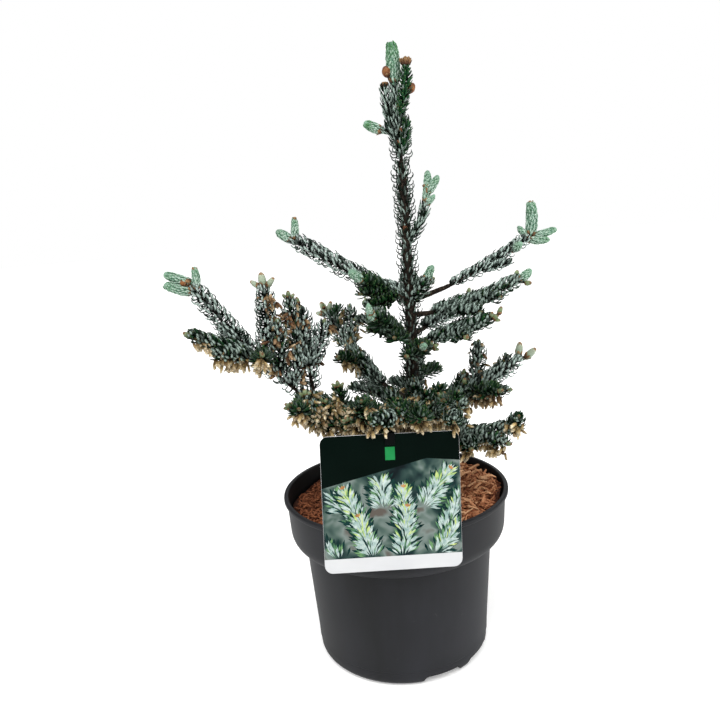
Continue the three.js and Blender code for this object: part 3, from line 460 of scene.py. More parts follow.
def needle(name, upper, upper_light, back, rib, rib_light, gloss=0.42):
    """A fir needle: waxy green above, and beneath it two pale bands of breathing pores beside a green
    midrib. Each needle has its own tint, and its frost says how white the bands are."""
    made, tree, shader = material(name)
    tint, frost, along, lift, over = [add(tree, TOLD, attribute_name=key).outputs["Fac"]
                                      for key in ("tint", "frost", "along", "lift", "across")]
    beneath = add(tree, SCALAR, {0: lift, 1: 0.0}, operation="LESS_THAN")
    across = add(tree, SCALAR, {0: over}, operation="ABSOLUTE")
    # From the midrib outwards: the rib, the pale band, the green margin and its thin light edge.
    bands = add(tree, RAMP, {"Fac": across},
                stops=((0.0, 0.25), (0.04, 0.35), (0.08, 1.0), (0.5, 1.0), (0.58, 0.03), (1.0, 1.0)))
    # Painted shade hides the bands at the needle's foot, and they fade towards its blunt end.
    painted_foot_shade = add(tree, SPAN, {"Value": along, "From Min": 0.32, "From Max": 0.6, "To Min": 0.05})
    blunt = add(tree, SPAN, {"Value": along, "From Min": 0.84, "From Max": 0.98, "To Min": 1.0,
                             "To Max": 0.3})
    bloom = add(tree, SCALAR, {0: bands, 1: frost}, operation="MULTIPLY")
    bloom = add(tree, SCALAR, {0: bloom, 1: painted_foot_shade}, operation="MULTIPLY")
    bloom = add(tree, SCALAR, {0: bloom, 1: blunt}, operation="MULTIPLY")
    green = add(tree, BLEND, {"Factor": tint, "A": linear(upper), "B": linear(upper_light)}, data_type="RGBA")
    tip = add(tree, SPAN, {"Value": along, "From Min": 0.86, "To Max": 0.35})
    green = add(tree, BLEND, {"Factor": tip, "A": green, "B": linear("#6f804d")}, data_type="RGBA")
    rib = add(tree, BLEND, {"Factor": tint, "A": linear(rib), "B": linear(rib_light)}, data_type="RGBA")
    under = add(tree, BLEND, {"Factor": bloom, "A": rib, "B": linear(back)}, data_type="RGBA")
    colour = add(tree, BLEND, {"Factor": beneath, "A": green, "B": under}, data_type="RGBA")
    rough = add(tree, SPAN, {"Value": beneath, "To Min": gloss, "To Max": 0.72})
    fill(tree, shader, {"Base Color": colour, "Roughness": rough, "Specular IOR Level": 0.09})
    return made


def tinted_body(name, stops, roughness, second=None, crease_shade_depth=0.8):
    """A small plant body, such as a bud or a spent cone, whose colour runs from its foot to its tip and
    is broken by fine papery scales, with painted shade in the creases between them. Each body has its own
    tint, and its frost leads to its second colours."""
    made, tree, shader = material(name)
    place = add(tree, "ShaderNodeTexCoord").outputs["Object"]
    along, tint, frost = [add(tree, TOLD, attribute_name=key).outputs["Fac"]
                          for key in ("along", "tint", "frost")]
    scales = add(tree, "ShaderNodeTexVoronoi", {"Vector": place, "Scale": every(1.111)}, feature="F1")
    mottle = add(tree, NOISE, {"Vector": place, "Scale": every(1.667), "Detail": 4, "Roughness": 0.7})
    edge = add(tree, SCALAR, {0: scales, 1: 0.22}, operation="MULTIPLY")
    where = add(tree, SCALAR, {0: along, 1: edge}, operation="ADD")
    ramp = add(tree, RAMP, {"Fac": where}, stops=stops)
    if second:
        other = add(tree, RAMP, {"Fac": where}, stops=second)
        ramp = add(tree, BLEND, {"Factor": frost, "A": ramp, "B": other}, data_type="RGBA")
    shift = add(tree, SCALAR, {0: tint, 1: mottle}, operation="ADD")
    dim = add(tree, SPAN, {"Value": shift, "From Min": 0.35, "From Max": 1.5, "To Min": 0.45, "To Max": 1.25})
    # Painted shade: darker towards the creases between the scales.
    crease_shade = add(tree, SPAN, {"Value": scales, "From Min": 0.3, "From Max": 0.75, "To Min": 1.0,
                              "To Max": crease_shade_depth})
    dim = add(tree, SCALAR, {0: dim, 1: crease_shade}, operation="MULTIPLY")
    colour = add(tree, BLEND, {"Factor": 1.0, "A": ramp, "B": dim}, data_type="RGBA", blend_type="MULTIPLY")
    bump = add(tree, "ShaderNodeBump", {"Height": scales, "Strength": 0.6, "Distance": 0.0005})
    fill(tree, shader, {"Base Color": colour, "Normal": bump, "Roughness": roughness,
                        "Specular IOR Level": 0.2})
    return made


def shredded_bark():
    """Shredded conifer bark, damp: red-brown fibrous chips, each its own shade, with paler torn fibres."""
    made, tree, shader = material("shredded_bark_mulch")
    place = add(tree, "ShaderNodeTexCoord").outputs["Object"]
    fibre = add(tree, NOISE, {"Vector": place, "Scale": every(1.111), "Detail": 5, "Roughness": 0.72})
    tint = add(tree, TOLD, attribute_name="tint").outputs["Fac"]
    blend = add(tree, SCALAR, {0: tint, 1: fibre}, operation="ADD")
    where = add(tree, SPAN, {"Value": blend, "From Min": 0.25, "From Max": 1.65})
    tone = add(tree, RAMP, {"Fac": where}, stops=((0.0, "#2c150c"), (0.3, "#5c3220"), (0.55, "#925a3c"),
                                                  (0.78, "#bd855f"), (1.0, "#e0b389")))
    bump = add(tree, "ShaderNodeBump", {"Height": fibre, "Strength": 0.7, "Distance": 0.0006})
    fill(tree, shader, {"Base Color": tone, "Normal": bump, "Roughness": 0.88, "Specular IOR Level": 0.15})
    return made


def print_ink(name, colours, patch, roughness=0.28, gleam=0.05):
    """Offset ink under a clear film on plastic label stock: glossy, with the soft tones of the print in
    patches of so many millimetres."""
    made, tree, shader = material(name)
    place = add(tree, "ShaderNodeTexCoord").outputs["Object"]
    soft = add(tree, NOISE, {"Vector": place, "Scale": every(patch), "Detail": 2.0, "Roughness": 0.5,
                             "Distortion": 0.4})
    stops = [(0.3 + 0.4 * i / (len(colours) - 1), colour) for i, colour in enumerate(colours)]
    tone = add(tree, RAMP, {"Fac": soft}, stops=stops)
    fill(tree, shader, {"Base Color": tone, "Roughness": roughness, "Specular IOR Level": gleam})
    return made


def studio_floor():
    """The white acrylic sheet of a light table, matt, with a trace of mottle. It is lit from below and
    glows a little more towards its edge."""
    made, tree, shader = material("light_table_acrylic")
    place = add(tree, "ShaderNodeTexCoord").outputs["Object"]
    mottle = add(tree, NOISE, {"Vector": place, "Scale": every(333), "Detail": 4})
    tone = add(tree, RAMP, {"Fac": mottle}, stops=((0.0, "#f1f1f0"), (1.0, "#f5f5f4")))
    far = add(tree, VECTOR, {0: place}, operation="LENGTH").outputs["Value"]
    glow = add(tree, SPAN, {"Value": far, "From Min": 0.3, "From Max": 2.5, "To Min": 0.3, "To Max": 0.36})
    fill(tree, shader, {"Base Color": tone, "Emission Color": linear(1), "Emission Strength": glow,
                        "Roughness": 0.9})
    return made


PLASTIC = polypropylene()
BARK = bark()
NEEDLES = {
    "silver": needle("fir_needle_silver_backed", "#06170e", "#1a3f2c", "#b6c9c0", "#020a06", "#0b1b12"),
    "mixed": needle("fir_needle_blue_green", "#05140b", "#1b4727", "#abbfb4", "#020a05", "#0b1f12"),
    "dark": needle("fir_needle_green", "#051208", "#254e2b", "#90a598", "#040c04", "#102c14"),
    "young": needle("fir_needle_newly_grown", "#4a7259", "#46733f", "#bbcbbe", "#5b8670", "#417644",
                    gloss=0.5),
}
BUD = tinted_body(
    "fir_bud_swelling",
    ((0.0, "#573f24"), (0.22, "#525b33"), (0.5, "#66784c"), (0.95, "#7a8762"), (1.2, "#75583c")), 0.5,
    second=((0.0, "#5f4a2f"), (0.25, "#7c8b72"), (0.6, "#92a08e"), (0.95, "#9da593"), (1.2, "#86694a")))
BROWN_BUD = tinted_body(
    "fir_bud_resting", ((0.0, "#2c140f"), (0.4, "#60341d"), (0.8, "#875830"), (1.15, "#6b432d")), 0.5)
SCALE = tinted_body("bud_scale_papery", ((0.0, "#342019"), (0.5, "#69472f"), (1.0, "#92714c")), 0.6)
AXIS = tinted_body("young_shoot_axis", ((0.0, "#5f8870"), (1.0, "#7da088")), 0.6)
CONE = tinted_body(
    "pollen_cone_spent", ((0.0, "#2e2417"), (0.25, "#77623a"), (0.6, "#c0a773"), (1.0, "#f2e5c4")), 0.8,
    second=((0.0, "#28150e"), (0.4, "#61402a"), (1.0, "#94714f")), crease_shade_depth=0.4)
MULCH = shredded_bark()

# ---------------------------------------------------------------- geometry node trees


def new_tree(name, inputs):
    """A geometry node tree with named inputs, as (tree, its group input)."""
    tree = bpy.data.node_groups.new(name, "GeometryNodeTree")
    tree.interface.new_socket("Geometry", in_out="INPUT", socket_type="NodeSocketGeometry")
    for label, kind, value in inputs:
        socket = tree.interface.new_socket(label, in_out="INPUT", socket_type="NodeSocket" + kind)
        if value is not None:
            socket.default_value = value
    tree.interface.new_socket("Geometry", in_out="OUTPUT", socket_type="NodeSocketGeometry")
    return tree, add(tree, "NodeGroupInput").outputs


def end_tree(tree, geometry, source, smooth=True):
    """Realizes what the tree made, gives it its material and puts it out."""
    shaded = add(tree, "GeometryNodeSetShadeSmooth", {"Geometry": geometry, "Shade Smooth": smooth})
    real = add(tree, "GeometryNodeRealizeInstances", {"Geometry": shaded})
    done = add(tree, "GeometryNodeSetMaterial", {"Geometry": real, "Material": source["Material"]})
    add(tree, "NodeGroupOutput", {"Geometry": done})
    return tree


def blade_tree():
    """Bends a slim four-sided blade out of every point, by the point's own root, grow, face, reach,
    width, curl and the straight share before the hook. Along, across and lift tell the material where
    on the blade it is."""
    tree, source = new_tree("grow_blades", (("Segments", "Int", 5), ("Thickness", "Float", 0.0002),
                                            ("Material", "Material", None)))
    blade = add(tree, "GeometryNodeMeshCylinder",
                {"Vertices": 4, "Side Segments": source["Segments"], "Radius": 1.0, "Depth": 1.0},
                fill_type="NGON")
    place = add(tree, "ShaderNodeSeparateXYZ", {0: add(tree, "GeometryNodeInputPosition")})
    rise = add(tree, SCALAR, {0: place.outputs["Z"], 1: 0.5}, operation="ADD")
    shape = blade.outputs["Mesh"]
    # Rings stand closer together towards the tip, where the hook is.
    nearer = add(tree, SCALAR, {0: rise, 1: 0.7}, operation="POWER")
    for name, value in (("across", place.outputs["X"]), ("lift", place.outputs["Y"]), ("along", nearer)):
        shape = add(tree, STORE, {"Geometry": shape, "Name": name, "Value": value}, data_type="FLOAT",
                    domain="POINT")
    sown = add(tree, "GeometryNodeInstanceOnPoints", {"Points": source["Geometry"], "Instance": shape})
    real = add(tree, "GeometryNodeRealizeInstances", {"Geometry": sown})

    root, grow, face = [add(tree, STORED, {"Name": name}, data_type="FLOAT_VECTOR")
                        for name in ("root", "grow", "face")]
    reach, width, curl, straight, along, across, lift = [
        add(tree, STORED, {"Name": name}, data_type="FLOAT")
        for name in ("reach", "width", "curl", "straight", "along", "across", "lift")]
    beyond = add(tree, SPAN, {"Value": along, "From Min": straight})
    turn = add(tree, SCALAR, {0: curl, 1: beyond}, operation="MULTIPLY")
    sine = add(tree, SCALAR, {0: turn}, operation="SINE")
    cosine = add(tree, SCALAR, {0: turn}, operation="COSINE")
    # The hook is an arc: its radius is the length that is left to it over how far it curls.
    hooked = add(tree, SCALAR, {0: 1.0, 1: straight}, operation="SUBTRACT")
    left = add(tree, SCALAR, {0: reach, 1: hooked}, operation="MULTIPLY")
    bend = add(tree, SCALAR, {0: left, 1: curl}, operation="DIVIDE")
    before = add(tree, SCALAR, {0: along, 1: straight}, operation="MINIMUM")
    stem = add(tree, SCALAR, {0: reach, 1: before}, operation="MULTIPLY")
    ahead = add(tree, SCALAR, {0: bend, 1: sine, 2: stem}, operation="MULTIPLY_ADD")
    rest = add(tree, SCALAR, {0: 1.0, 1: cosine}, operation="SUBTRACT")
    aside = add(tree, SCALAR, {0: bend, 1: rest}, operation="MULTIPLY")
    # The outline is blunt at both ends: the root of a sine along the blade.
    phase = add(tree, SCALAR, {0: along, 1: 2.5, 2: 0.38}, operation="MULTIPLY_ADD")
    hump = add(tree, SCALAR, {0: phase}, operation="SINE")
    swell = add(tree, SCALAR, {0: hump, 1: 0.5}, operation="POWER")
    broad = add(tree, SCALAR, {0: width, 1: across}, operation="MULTIPLY")
    half = add(tree, SCALAR, {0: broad, 1: swell}, operation="MULTIPLY")
    thick = add(tree, SCALAR, {0: source["Thickness"], 1: lift}, operation="MULTIPLY")
    deep = add(tree, SCALAR, {0: thick, 1: swell}, operation="MULTIPLY")
    side = add(tree, VECTOR, {0: grow, 1: face}, operation="CROSS_PRODUCT")
    upright = add(tree, VECTOR, {0: face, "Scale": cosine}, operation="SCALE")
    level = add(tree, VECTOR, {0: grow, "Scale": sine}, operation="SCALE")
    normal = add(tree, VECTOR, {0: upright, 1: level}, operation="SUBTRACT")
    point = root
    for direction, amount in ((grow, ahead), (face, aside), (side, half), (normal, deep)):
        step = add(tree, VECTOR, {0: direction, "Scale": amount}, operation="SCALE")
        point = add(tree, VECTOR, {0: point, 1: step}, operation="ADD")
    moved = add(tree, "GeometryNodeSetPosition", {"Geometry": real, "Position": point})
    return end_tree(tree, moved, source)


def roughened(tree, geometry, grain, detail, reach):
    """Shifts every point of some geometry by its own bit of noise."""
    noise = add(tree, NOISE, {"Scale": grain, "Detail": detail})
    centred = add(tree, VECTOR, {0: noise.outputs["Color"], 1: (0.5, 0.5, 0.5)}, operation="SUBTRACT")
    push = add(tree, VECTOR, {0: centred, "Scale": reach}, operation="SCALE")
    return add(tree, "GeometryNodeSetPosition", {"Geometry": geometry, "Offset": push})


def body_tree():
    """Sets a copy of the Body on every point, its Z along grow and its X to face, at the point's own
    size, and then roughens all of them so that no two are alike."""
    tree, source = new_tree("set_bodies", (("Body", "Object", None), ("Roughen", "Float", 0.0003),
                                           ("Grain", "Float", 400.0), ("Material", "Material", None)))
    grow, face, size = [add(tree, STORED, {"Name": name}, data_type="FLOAT_VECTOR")
                        for name in ("grow", "face", "size")]
    turned = add(tree, "FunctionNodeAxesToRotation", {"Primary Axis": grow, "Secondary Axis": face},
                 primary_axis="Z", secondary_axis="X")
    body = add(tree, "GeometryNodeObjectInfo", {"Object": source["Body"]}).outputs["Geometry"]
    sown = add(tree, "GeometryNodeInstanceOnPoints", {"Points": source["Geometry"], "Instance": body,
                                                      "Rotation": turned, "Scale": size})
    real = add(tree, "GeometryNodeRealizeInstances", {"Geometry": sown})
    return end_tree(tree, roughened(tree, real, source["Grain"], 1.0, source["Roughen"]), source)


def limb_tree():
    """Draws a round limb along every curve, as thick as the curve's own radius, with raised bark."""
    tree, source = new_tree("draw_limbs", (("Step", "Float", 0.002), ("Sides", "Int", 8),
                                           ("Relief", "Float", 0.0004), ("Grain", "Float", 500.0),
                                           ("Material", "Material", None)))
    even = add(tree, "GeometryNodeResampleCurve", {"Curve": source["Geometry"], "Length": source["Step"]},
               mode="LENGTH")
    ring = add(tree, "GeometryNodeCurvePrimitiveCircle", {"Resolution": source["Sides"], "Radius": 1.0})
    radius = add(tree, "GeometryNodeInputRadius")
    tube = add(tree, "GeometryNodeCurveToMesh", {"Curve": even, "Profile Curve": ring.outputs["Curve"],
                                                 "Scale": radius, "Fill Caps": True})
    position = add(tree, "GeometryNodeInputPosition")
    place = add(tree, VECTOR, {0: position, 1: (1.0, 1.0, 0.5)}, operation="MULTIPLY")
    grain = add(tree, NOISE, {"Vector": place, "Scale": source["Grain"], "Detail": 3.0})
    height = add(tree, SCALAR, {0: grain, 1: 0.5}, operation="SUBTRACT")
    amount = add(tree, SCALAR, {0: height, 1: source["Relief"]}, operation="MULTIPLY")
    normal = add(tree, "GeometryNodeInputNormal")
    push = add(tree, VECTOR, {0: normal, "Scale": amount}, operation="SCALE")
    moved = add(tree, "GeometryNodeSetPosition", {"Geometry": tube, "Offset": push})
    return end_tree(tree, moved, source)


def mulch_tree():
    """Strews chips over the bed: each turned and sized at random, and roughened. Those that lie deepest
    are painted darkest, as painted shade among the chips."""
    tree, source = new_tree("strew_mulch", (
        ("Chip", "Object", None), ("Density", "Float", 100000.0), ("Darkest", "Float", 0.0),
        ("Palest", "Float", 1.0), ("Depth", "Float", 0.003), ("Smallest", "Vector", (0.4, 0.4, 0.4)),
        ("Largest", "Vector", (1, 1, 1)), ("Tilt", "Float", 0.4), ("Seed", "Int", 3),
        ("Material", "Material", None)))
    spots = add(tree, "GeometryNodeDistributePointsOnFaces",
                {"Mesh": source["Geometry"], "Density": source["Density"], "Seed": source["Seed"]})
    # One random share sets both how deep a chip lies and its tint: painted shade on the deepest.
    heaped = add(tree, "FunctionNodeRandomValue", {"Min": 0.0, "Max": 1.0, "Seed": 23}, data_type="FLOAT")
    shade = add(tree, SPAN, {"Value": heaped, "To Min": source["Darkest"], "To Max": source["Palest"]})
    shaded = add(tree, STORE, {"Geometry": spots.outputs["Points"], "Name": "tint", "Value": shade},
                 data_type="FLOAT", domain="POINT")
    middle = add(tree, SCALAR, {0: heaped, 1: 0.5}, operation="SUBTRACT")
    height = add(tree, SCALAR, {0: middle, 1: source["Depth"]}, operation="MULTIPLY")
    rise = add(tree, "ShaderNodeCombineXYZ", {2: height})
    raised = add(tree, "GeometryNodeSetPosition", {"Geometry": shaded, "Offset": rise})
    size = add(tree, "FunctionNodeRandomValue",
               {"Min": source["Smallest"], "Max": source["Largest"], "Seed": source["Seed"]},
               data_type="FLOAT_VECTOR")
    back = add(tree, SCALAR, {0: source["Tilt"], 1: -1.0}, operation="MULTIPLY")
    low = add(tree, "ShaderNodeCombineXYZ", {0: back, 1: back, 2: 0.0})
    high = add(tree, "ShaderNodeCombineXYZ", {0: source["Tilt"], 1: source["Tilt"], 2: 6.283})
    turn = add(tree, "FunctionNodeRandomValue", {"Min": low, "Max": high, "Seed": 11},
               data_type="FLOAT_VECTOR")
    chip = add(tree, "GeometryNodeObjectInfo", {"Object": source["Chip"]}).outputs["Geometry"]
    sown = add(tree, "GeometryNodeInstanceOnPoints", {"Points": raised, "Instance": chip,
                                                      "Rotation": turn, "Scale": size})
    real = add(tree, "GeometryNodeRealizeInstances", {"Geometry": sown})
    return end_tree(tree, roughened(tree, real, every(3.85), 2.0, 0.0025), source, smooth=False)


TREES = {"blades": blade_tree(), "bodies": body_tree(), "limbs": limb_tree(), "mulch": mulch_tree()}


def grown(name, data, tree, **values):
    """Runs a tree over a mesh or a curve and keeps the result as a plain mesh object."""
    seed_object = new_object(name + "_start", data)
    modifier = seed_object.modifiers.new("grow", "NODES")
    modifier.node_group = TREES[tree]
    labels = {item.name: item.identifier for item in TREES[tree].interface.items_tree
              if item.in_out == "INPUT"}
    for label, value in values.items():
        modifier[labels[label]] = value
    bpy.context.view_layer.update()
    evaluated = seed_object.evaluated_get(bpy.context.evaluated_depsgraph_get())
    mesh = bpy.data.meshes.new_from_object(evaluated)
    bpy.data.objects.remove(seed_object)
    mesh.name = name
    return new_object(name, mesh)


# ---------------------------------------------------------------- growth


class Path:
    """A Bezier curve in millimetres, read at shares from 0 to 1."""

    def __init__(self, *points):
        self.points = np.array(points, float)
        line = self.at(np.linspace(0, 1, 60))
        self.length = float(np.linalg.norm(np.diff(line, axis=0), axis=1).sum())

    def at(self, share):
        share = np.asarray(share, float)[..., None]
        rows = [np.broadcast_to(p, share.shape[:-1] + (3,)) for p in self.points]
        while len(rows) > 1:
            rows = [a * (1 - share) + b * share for a, b in zip(rows, rows[1:])]
        return rows[0]

    def tangent(self, share):
        share = np.asarray(share, float)
        return unit(self.at(np.clip(share + 0.003, 0, 1)) - self.at(np.clip(share - 0.003, 0, 1)))

    def frame(self, share):
        """Point, tangent and two directions square to it."""
        along = self.tangent(share)
        steep = abs(unit(self.points[-1] - self.points[0])[2]) > 0.7
        reference = np.array((1.0, 0, 0) if steep else (0, 0, 1.0))
        across = unit(np.cross(reference, along))
        return self.at(share), along, across, np.cross(along, across)


FOOT, TOP = TRUNK["stations"][0][0], TRUNK["stations"][-1][0]


def along_trunk(height, stations):
    """A value of the trunk at a height, between its stations of (height, value)."""
    heights, values = zip(*stations)
    return np.interp(height, heights, values)


def trunk_at(height):
    return np.array((along_trunk(height, TRUNK["stations"]), 0.0, height))


def trunk_radius(height):
    flare = (TRUNK["flare"] - TRUNK["base"]) * math.exp(min(0.0, FOOT - height) / 7)
    return mix(TRUNK["base"], TRUNK["tip"], min(1.0, max(0.0, (height - FOOT) / (TOP - FOOT)))) + flare


def bough_path(start, plan):
    way, swing = plan["heading"], plan.get("swing", 0)
    level = math.radians(way)
    tip = start + np.array((plan["run"] * math.cos(level), plan["run"] * math.sin(level), plan["rise"]))
    pull = 0.35 * math.hypot(plan["run"], plan["rise"])
    second = start + pull * heading(way + swing, plan["slopes"][0])
    third = tip - pull * heading(way - swing, plan["slopes"][1])
    return Path(start, second, third, tip)


def shoot_path(start, way, lift, length):
    return Path(start, start + heading(way, lift - 10) * length / 2, start + heading(way, lift) * length)


class Sprouts:
    """Rows of points with their own values, which a tree grows one blade or body from each of."""

    VALUES = {"root": 3, "grow": 3, "face": 3, "size": 3, "reach": 1, "width": 1, "curl": 1, "straight": 1,
              "tint": 1, "frost": 1}

    def __init__(self):
        self.rows = {name: [] for name in self.VALUES}
        self.count = 0

    def add(self, root, **values):
        root = np.atleast_2d(root)
        values["root"] = root * MM
        for name in ("size", "reach", "width"):
            if name in values:
                values[name] = np.asarray(values[name], float) * MM
        for name, wide in self.VALUES.items():
            value = np.asarray(values.get(name, 0.0), float)
            shape = (len(root), 3) if wide == 3 else (len(root),)
            self.rows[name].append(np.broadcast_to(value, shape))
        self.count += len(root)

    def mesh(self):
        mesh = bpy.data.meshes.new("sprouts")
        mesh.vertices.add(self.count)
        for key, wide in self.VALUES.items():
            data = np.concatenate(self.rows[key]).astype(np.float32).ravel()
            kind = "FLOAT_VECTOR" if wide == 3 else "FLOAT"
            holder = mesh.attributes.new(key, kind, "POINT")
            holder.data.foreach_set("vector" if wide == 3 else "value", data)
        mesh.vertices.foreach_set("co", np.concatenate(self.rows["root"]).astype(np.float32).ravel())
        mesh.update()
        return mesh


def card_frame():
    """The card's own frame in millimetres: X across it, Y up it, Z out of its printed face."""
    turned = (Matrix.Rotation(math.radians(CARD["turn"]), 4, "Z")
              @ Matrix.Rotation(math.radians(90 - CARD["lean"]), 4, "X")
              @ Matrix.Rotation(math.radians(CARD["roll"]), 4, "Z"))
    out = turned.col[2].xyz
    reach = POT["rim"] * math.hypot(out.x, out.y) + (POT["height"] - 0.9) * out.z + GAP + 0.1
    x, z = CARD["centre"]
    y = (reach - out.x * x - out.z * z) / out.y
    return Matrix.Translation((x, y, z)) @ turned


CARD_FRAME = card_frame()
CARD_INVERSE = np.array(CARD_FRAME.inverted())


def clear_of_label(points, room):
    """True for points in millimetres that lie outside the card and its clip."""
    local = points @ CARD_INVERSE[:3, :3].T + CARD_INVERSE[:3, 3]
    x, y, z = np.abs(local[..., 0]), local[..., 1], local[..., 2]
    below = y < CARD["height"] / 2 + 2 + room
    in_card = (x < CARD["width"] / 2 + room) & below & (z > -room - GAP) & (z < CARD["thick"] + room)
    in_clip = (x < CLIP["width"] / 2 + room) & below & (z > -12 - room) & (z < 3 + room)
    return ~(in_card | in_clip)


def clear_of_trunk(points, room=GAP):
    heights = np.clip(points[..., 2], FOOT, TOP)
    aside = points[..., 0] - along_trunk(heights, TRUNK["stations"])
    return np.hypot(aside, points[..., 1]) > along_trunk(heights, TRUNK["bulk"]) + room


def grow_plan():
    """Every shoot of the plant, by the seeded rule: boughs, side shoots, young shoots and tufts."""
    limbs, shoots, paths = [], [], {}
    plans = [(name, plan, SEEDS[table] + SEEDS["step"] * i)
             for table, boughs in (("boughs", BOUGHS), ("trunk_shoots", TRUNK_SHOOTS))
             for i, (name, plan) in enumerate(boughs.items())]
    for name, plan, seed in plans:
        at = plan["from"]
        start = paths[at[0]].at(at[1]) if isinstance(at, tuple) else trunk_at(at)
        path = paths[name] = bough_path(start, plan)
        bare, cones = plan.get("bare", 0.0), plan.get("cones", 0.0)
        if bare:
            limbs.append((path, bare))

        def shoot(on, look, tip, **own):
            if tip == "mint":
                own["mint_from"] = 1 - plan.get("mint", YOUNG["tip"]) / on.length
            shoots.append({"mass": name, "path": on, "look": look, "tip": tip, "stem": False, "start": 0.0,
                           "skirt": 0.0, "mint_from": 1.0, "cones": 0.0, "stout": 1.0, "thin": 0.0} | own)

        shoot(path, plan.get("wears", plan["look"]), plan["tip"], stem=True, start=bare, cones=cones,
              skirt=plan.get("skirt", bare), mint_from=plan.get("mint_from", 1.0),
              stout=plan.get("stout", 1.0), thin=plan.get("sparse", 0.0))
        for share, turn, lift, length, look, tip, *own in plan.get("shoots", ()) + plan.get("more", ()):
            side = shoot_path(path.at(share), plan["heading"] + turn, lift, length)
            shoot(side, look, tip, start=0.04, skirt=0.04, cones=own[0] if own else cones)
        for share, turn, lift, length, tip, *own in plan.get("young", ()) + plan.get("finer", ()):
            stout, above = own + [1.0, 0.0][len(own):]
            side = shoot_path(path.at(share) + (0, 0, above), plan["heading"] + turn, lift, length)
            shoot(side, "young", tip, mint_from=0.0, stout=stout)
        numbers = seeded(seed)
        for i in range(plan.get("tufts", 0)):
            share = 0.4 + 0.56 * (i + next(numbers)) / plan["tufts"]
            turn = (-1 if i % 2 else 1) * mix(20, 85, next(numbers))
            lift, length = mix(20, 75, next(numbers)), mix(15, 24, next(numbers))
            side = shoot_path(path.at(share), plan["heading"] + turn, lift, length)
            shoot(side, "dark" if i % 2 and "wears" not in plan else plan["look"], "small", cones=cones)
    return limbs, shoots


LIMBS, SHOOTS = grow_plan()
random = np.random.default_rng(SEEDS["finer"])
needles = {(region, look): Sprouts() for region in REGIONS for look in NEEDLES}
scales, buds, brown_buds, axes, cones = Sprouts(), Sprouts(), Sprouts(), Sprouts(), Sprouts()


def keep(mask, **values):
    """The rows of the values where the mask is true."""
    return {key: value[mask] if isinstance(value, np.ndarray) else value for key, value in values.items()}


def along_blade(root, grow, face, reach, curl, straight, share):
    """The points at one share along hooked blades."""
    turn = curl * max(0.0, share - straight) / (1 - straight)
    bend = reach * (1 - straight) / curl
    ahead = reach * min(share, straight) + bend * np.sin(turn)
    return root + grow * ahead[:, None] + face * (bend * (1 - np.cos(turn)))[:, None]


def swung(first, second, turn):
    """The directions that turn from the first towards the second."""
    return first * np.cos(turn)[:, None] + second * np.sin(turn)[:, None]


def square_to(face, grow):
    """The directions nearest to face that are square to grow."""
    return unit(face - (face * grow).sum(1)[:, None] * grow)


def sow_needles(sprouts, path, start, end, look, twig, thin=0.0):
    """Needles in a spiral along a shoot. Those beneath a level shoot stand to its sides. All lean a
    little to the tip and curl up and forwards, so that a strong curl turns their backs to the outside."""
    count = int(look["dense"] * path.length * (end - start))
    if count < 4:
        return
    i = np.arange(count)
    share = start + (end - start) * (i + random.uniform(0.3, 0.7, count)) / count
    point, along, across, up = path.frame(share)
    flat = 1 - along[:, 2] ** 2
    spin = (i * GOLDEN + random.uniform(-0.14, 0.14, count) + np.pi) % (2 * np.pi) - np.pi
    spin *= 1 - 0.3 * flat
    out = swung(up, across, spin)
    near_tip = np.clip((share - end) * path.length / 8 + 1, 0, 1)
    lean = look["lean"] + random.uniform(-0.1, 0.1, count) + near_tip * (1.2 - look["lean"]) * 0.7
    grow = unit(swung(out, along, lean) + random.normal(0, 0.09, (count, 3)))
    wish = along * mix(1.0, 0.5, flat)[:, None] + np.array((0, 0, 1.0)) * flat[:, None]
    wish += random.normal(0, 0.22, (count, 3))
    face = square_to(wish, grow)
    fade = np.minimum(1, 0.75 + 2.0 * (share - start) / (end - start)) * (1 - 0.4 * near_tip)
    reach = look["length"] * fade * random.uniform(0.88, 1.08, count)
    curl = look["curl"] * random.uniform(0.85, 1.15, count) * (1 - 0.35 * near_tip)
    root = point + out * twig * 0.75
    over = np.where(random.uniform(0, 1, count) < look.get("turned", 0.0), -1.0, 1.0)
    mask = np.ones(count, bool)
    for part in (0.35, 0.7, 1.0):
        point = along_blade(root, grow, face, reach, curl, look["straight"], part)
        mask &= clear_of_label(point, 0.9) & (clear_of_trunk(point) | (part < 0.5))
    if thin:
        mask &= random.uniform(0, 1, count) > thin * (1 - (share - start) / (end - start)) ** 1.5
    width = look["half"] * random.uniform(0.88, 1.1, count)
    tint = np.clip(look["green"] + random.normal(0, 0.24, count), 0, 1)
    # Three needles in ten have lost most of their white.
    worn = random.uniform(0, 1, count) < 0.3
    white = np.where(worn, random.uniform(0, 0.35, count), random.uniform(0.75, 1.15, count))
    sprouts.add(**keep(mask, root=root, grow=grow, face=face * over[:, None], reach=reach, curl=curl * over,
                       straight=look["straight"], width=width, tint=tint,
                       frost=np.clip(look["frost"] * white, 0, 1)))


def sow_scales(foot, way, count, radius, reach, spread):
    """A ring of papery brown scales round a bud's foot."""
    way = unit(way)
    reference = np.array((0.0, 0, 1)) if abs(way[2]) < 0.8 else np.array((1.0, 0, 0))
    across = unit(np.cross(reference, way))
    spin = np.arange(count) * GOLDEN + random.uniform(-0.3, 0.3, count)
    out = swung(across, np.cross(way, across), spin)
    grow = unit(way + out * spread)
    face = unit(way - (grow @ way)[:, None] * grow)
    scales.add(root=foot + out * radius, grow=grow, face=face, reach=reach * random.uniform(0.8, 1.15, count),
               width=random.uniform(1.1, 1.7, count), curl=random.uniform(-0.4, 0.7, count),
               tint=random.uniform(0, 1, count), frost=0.0)


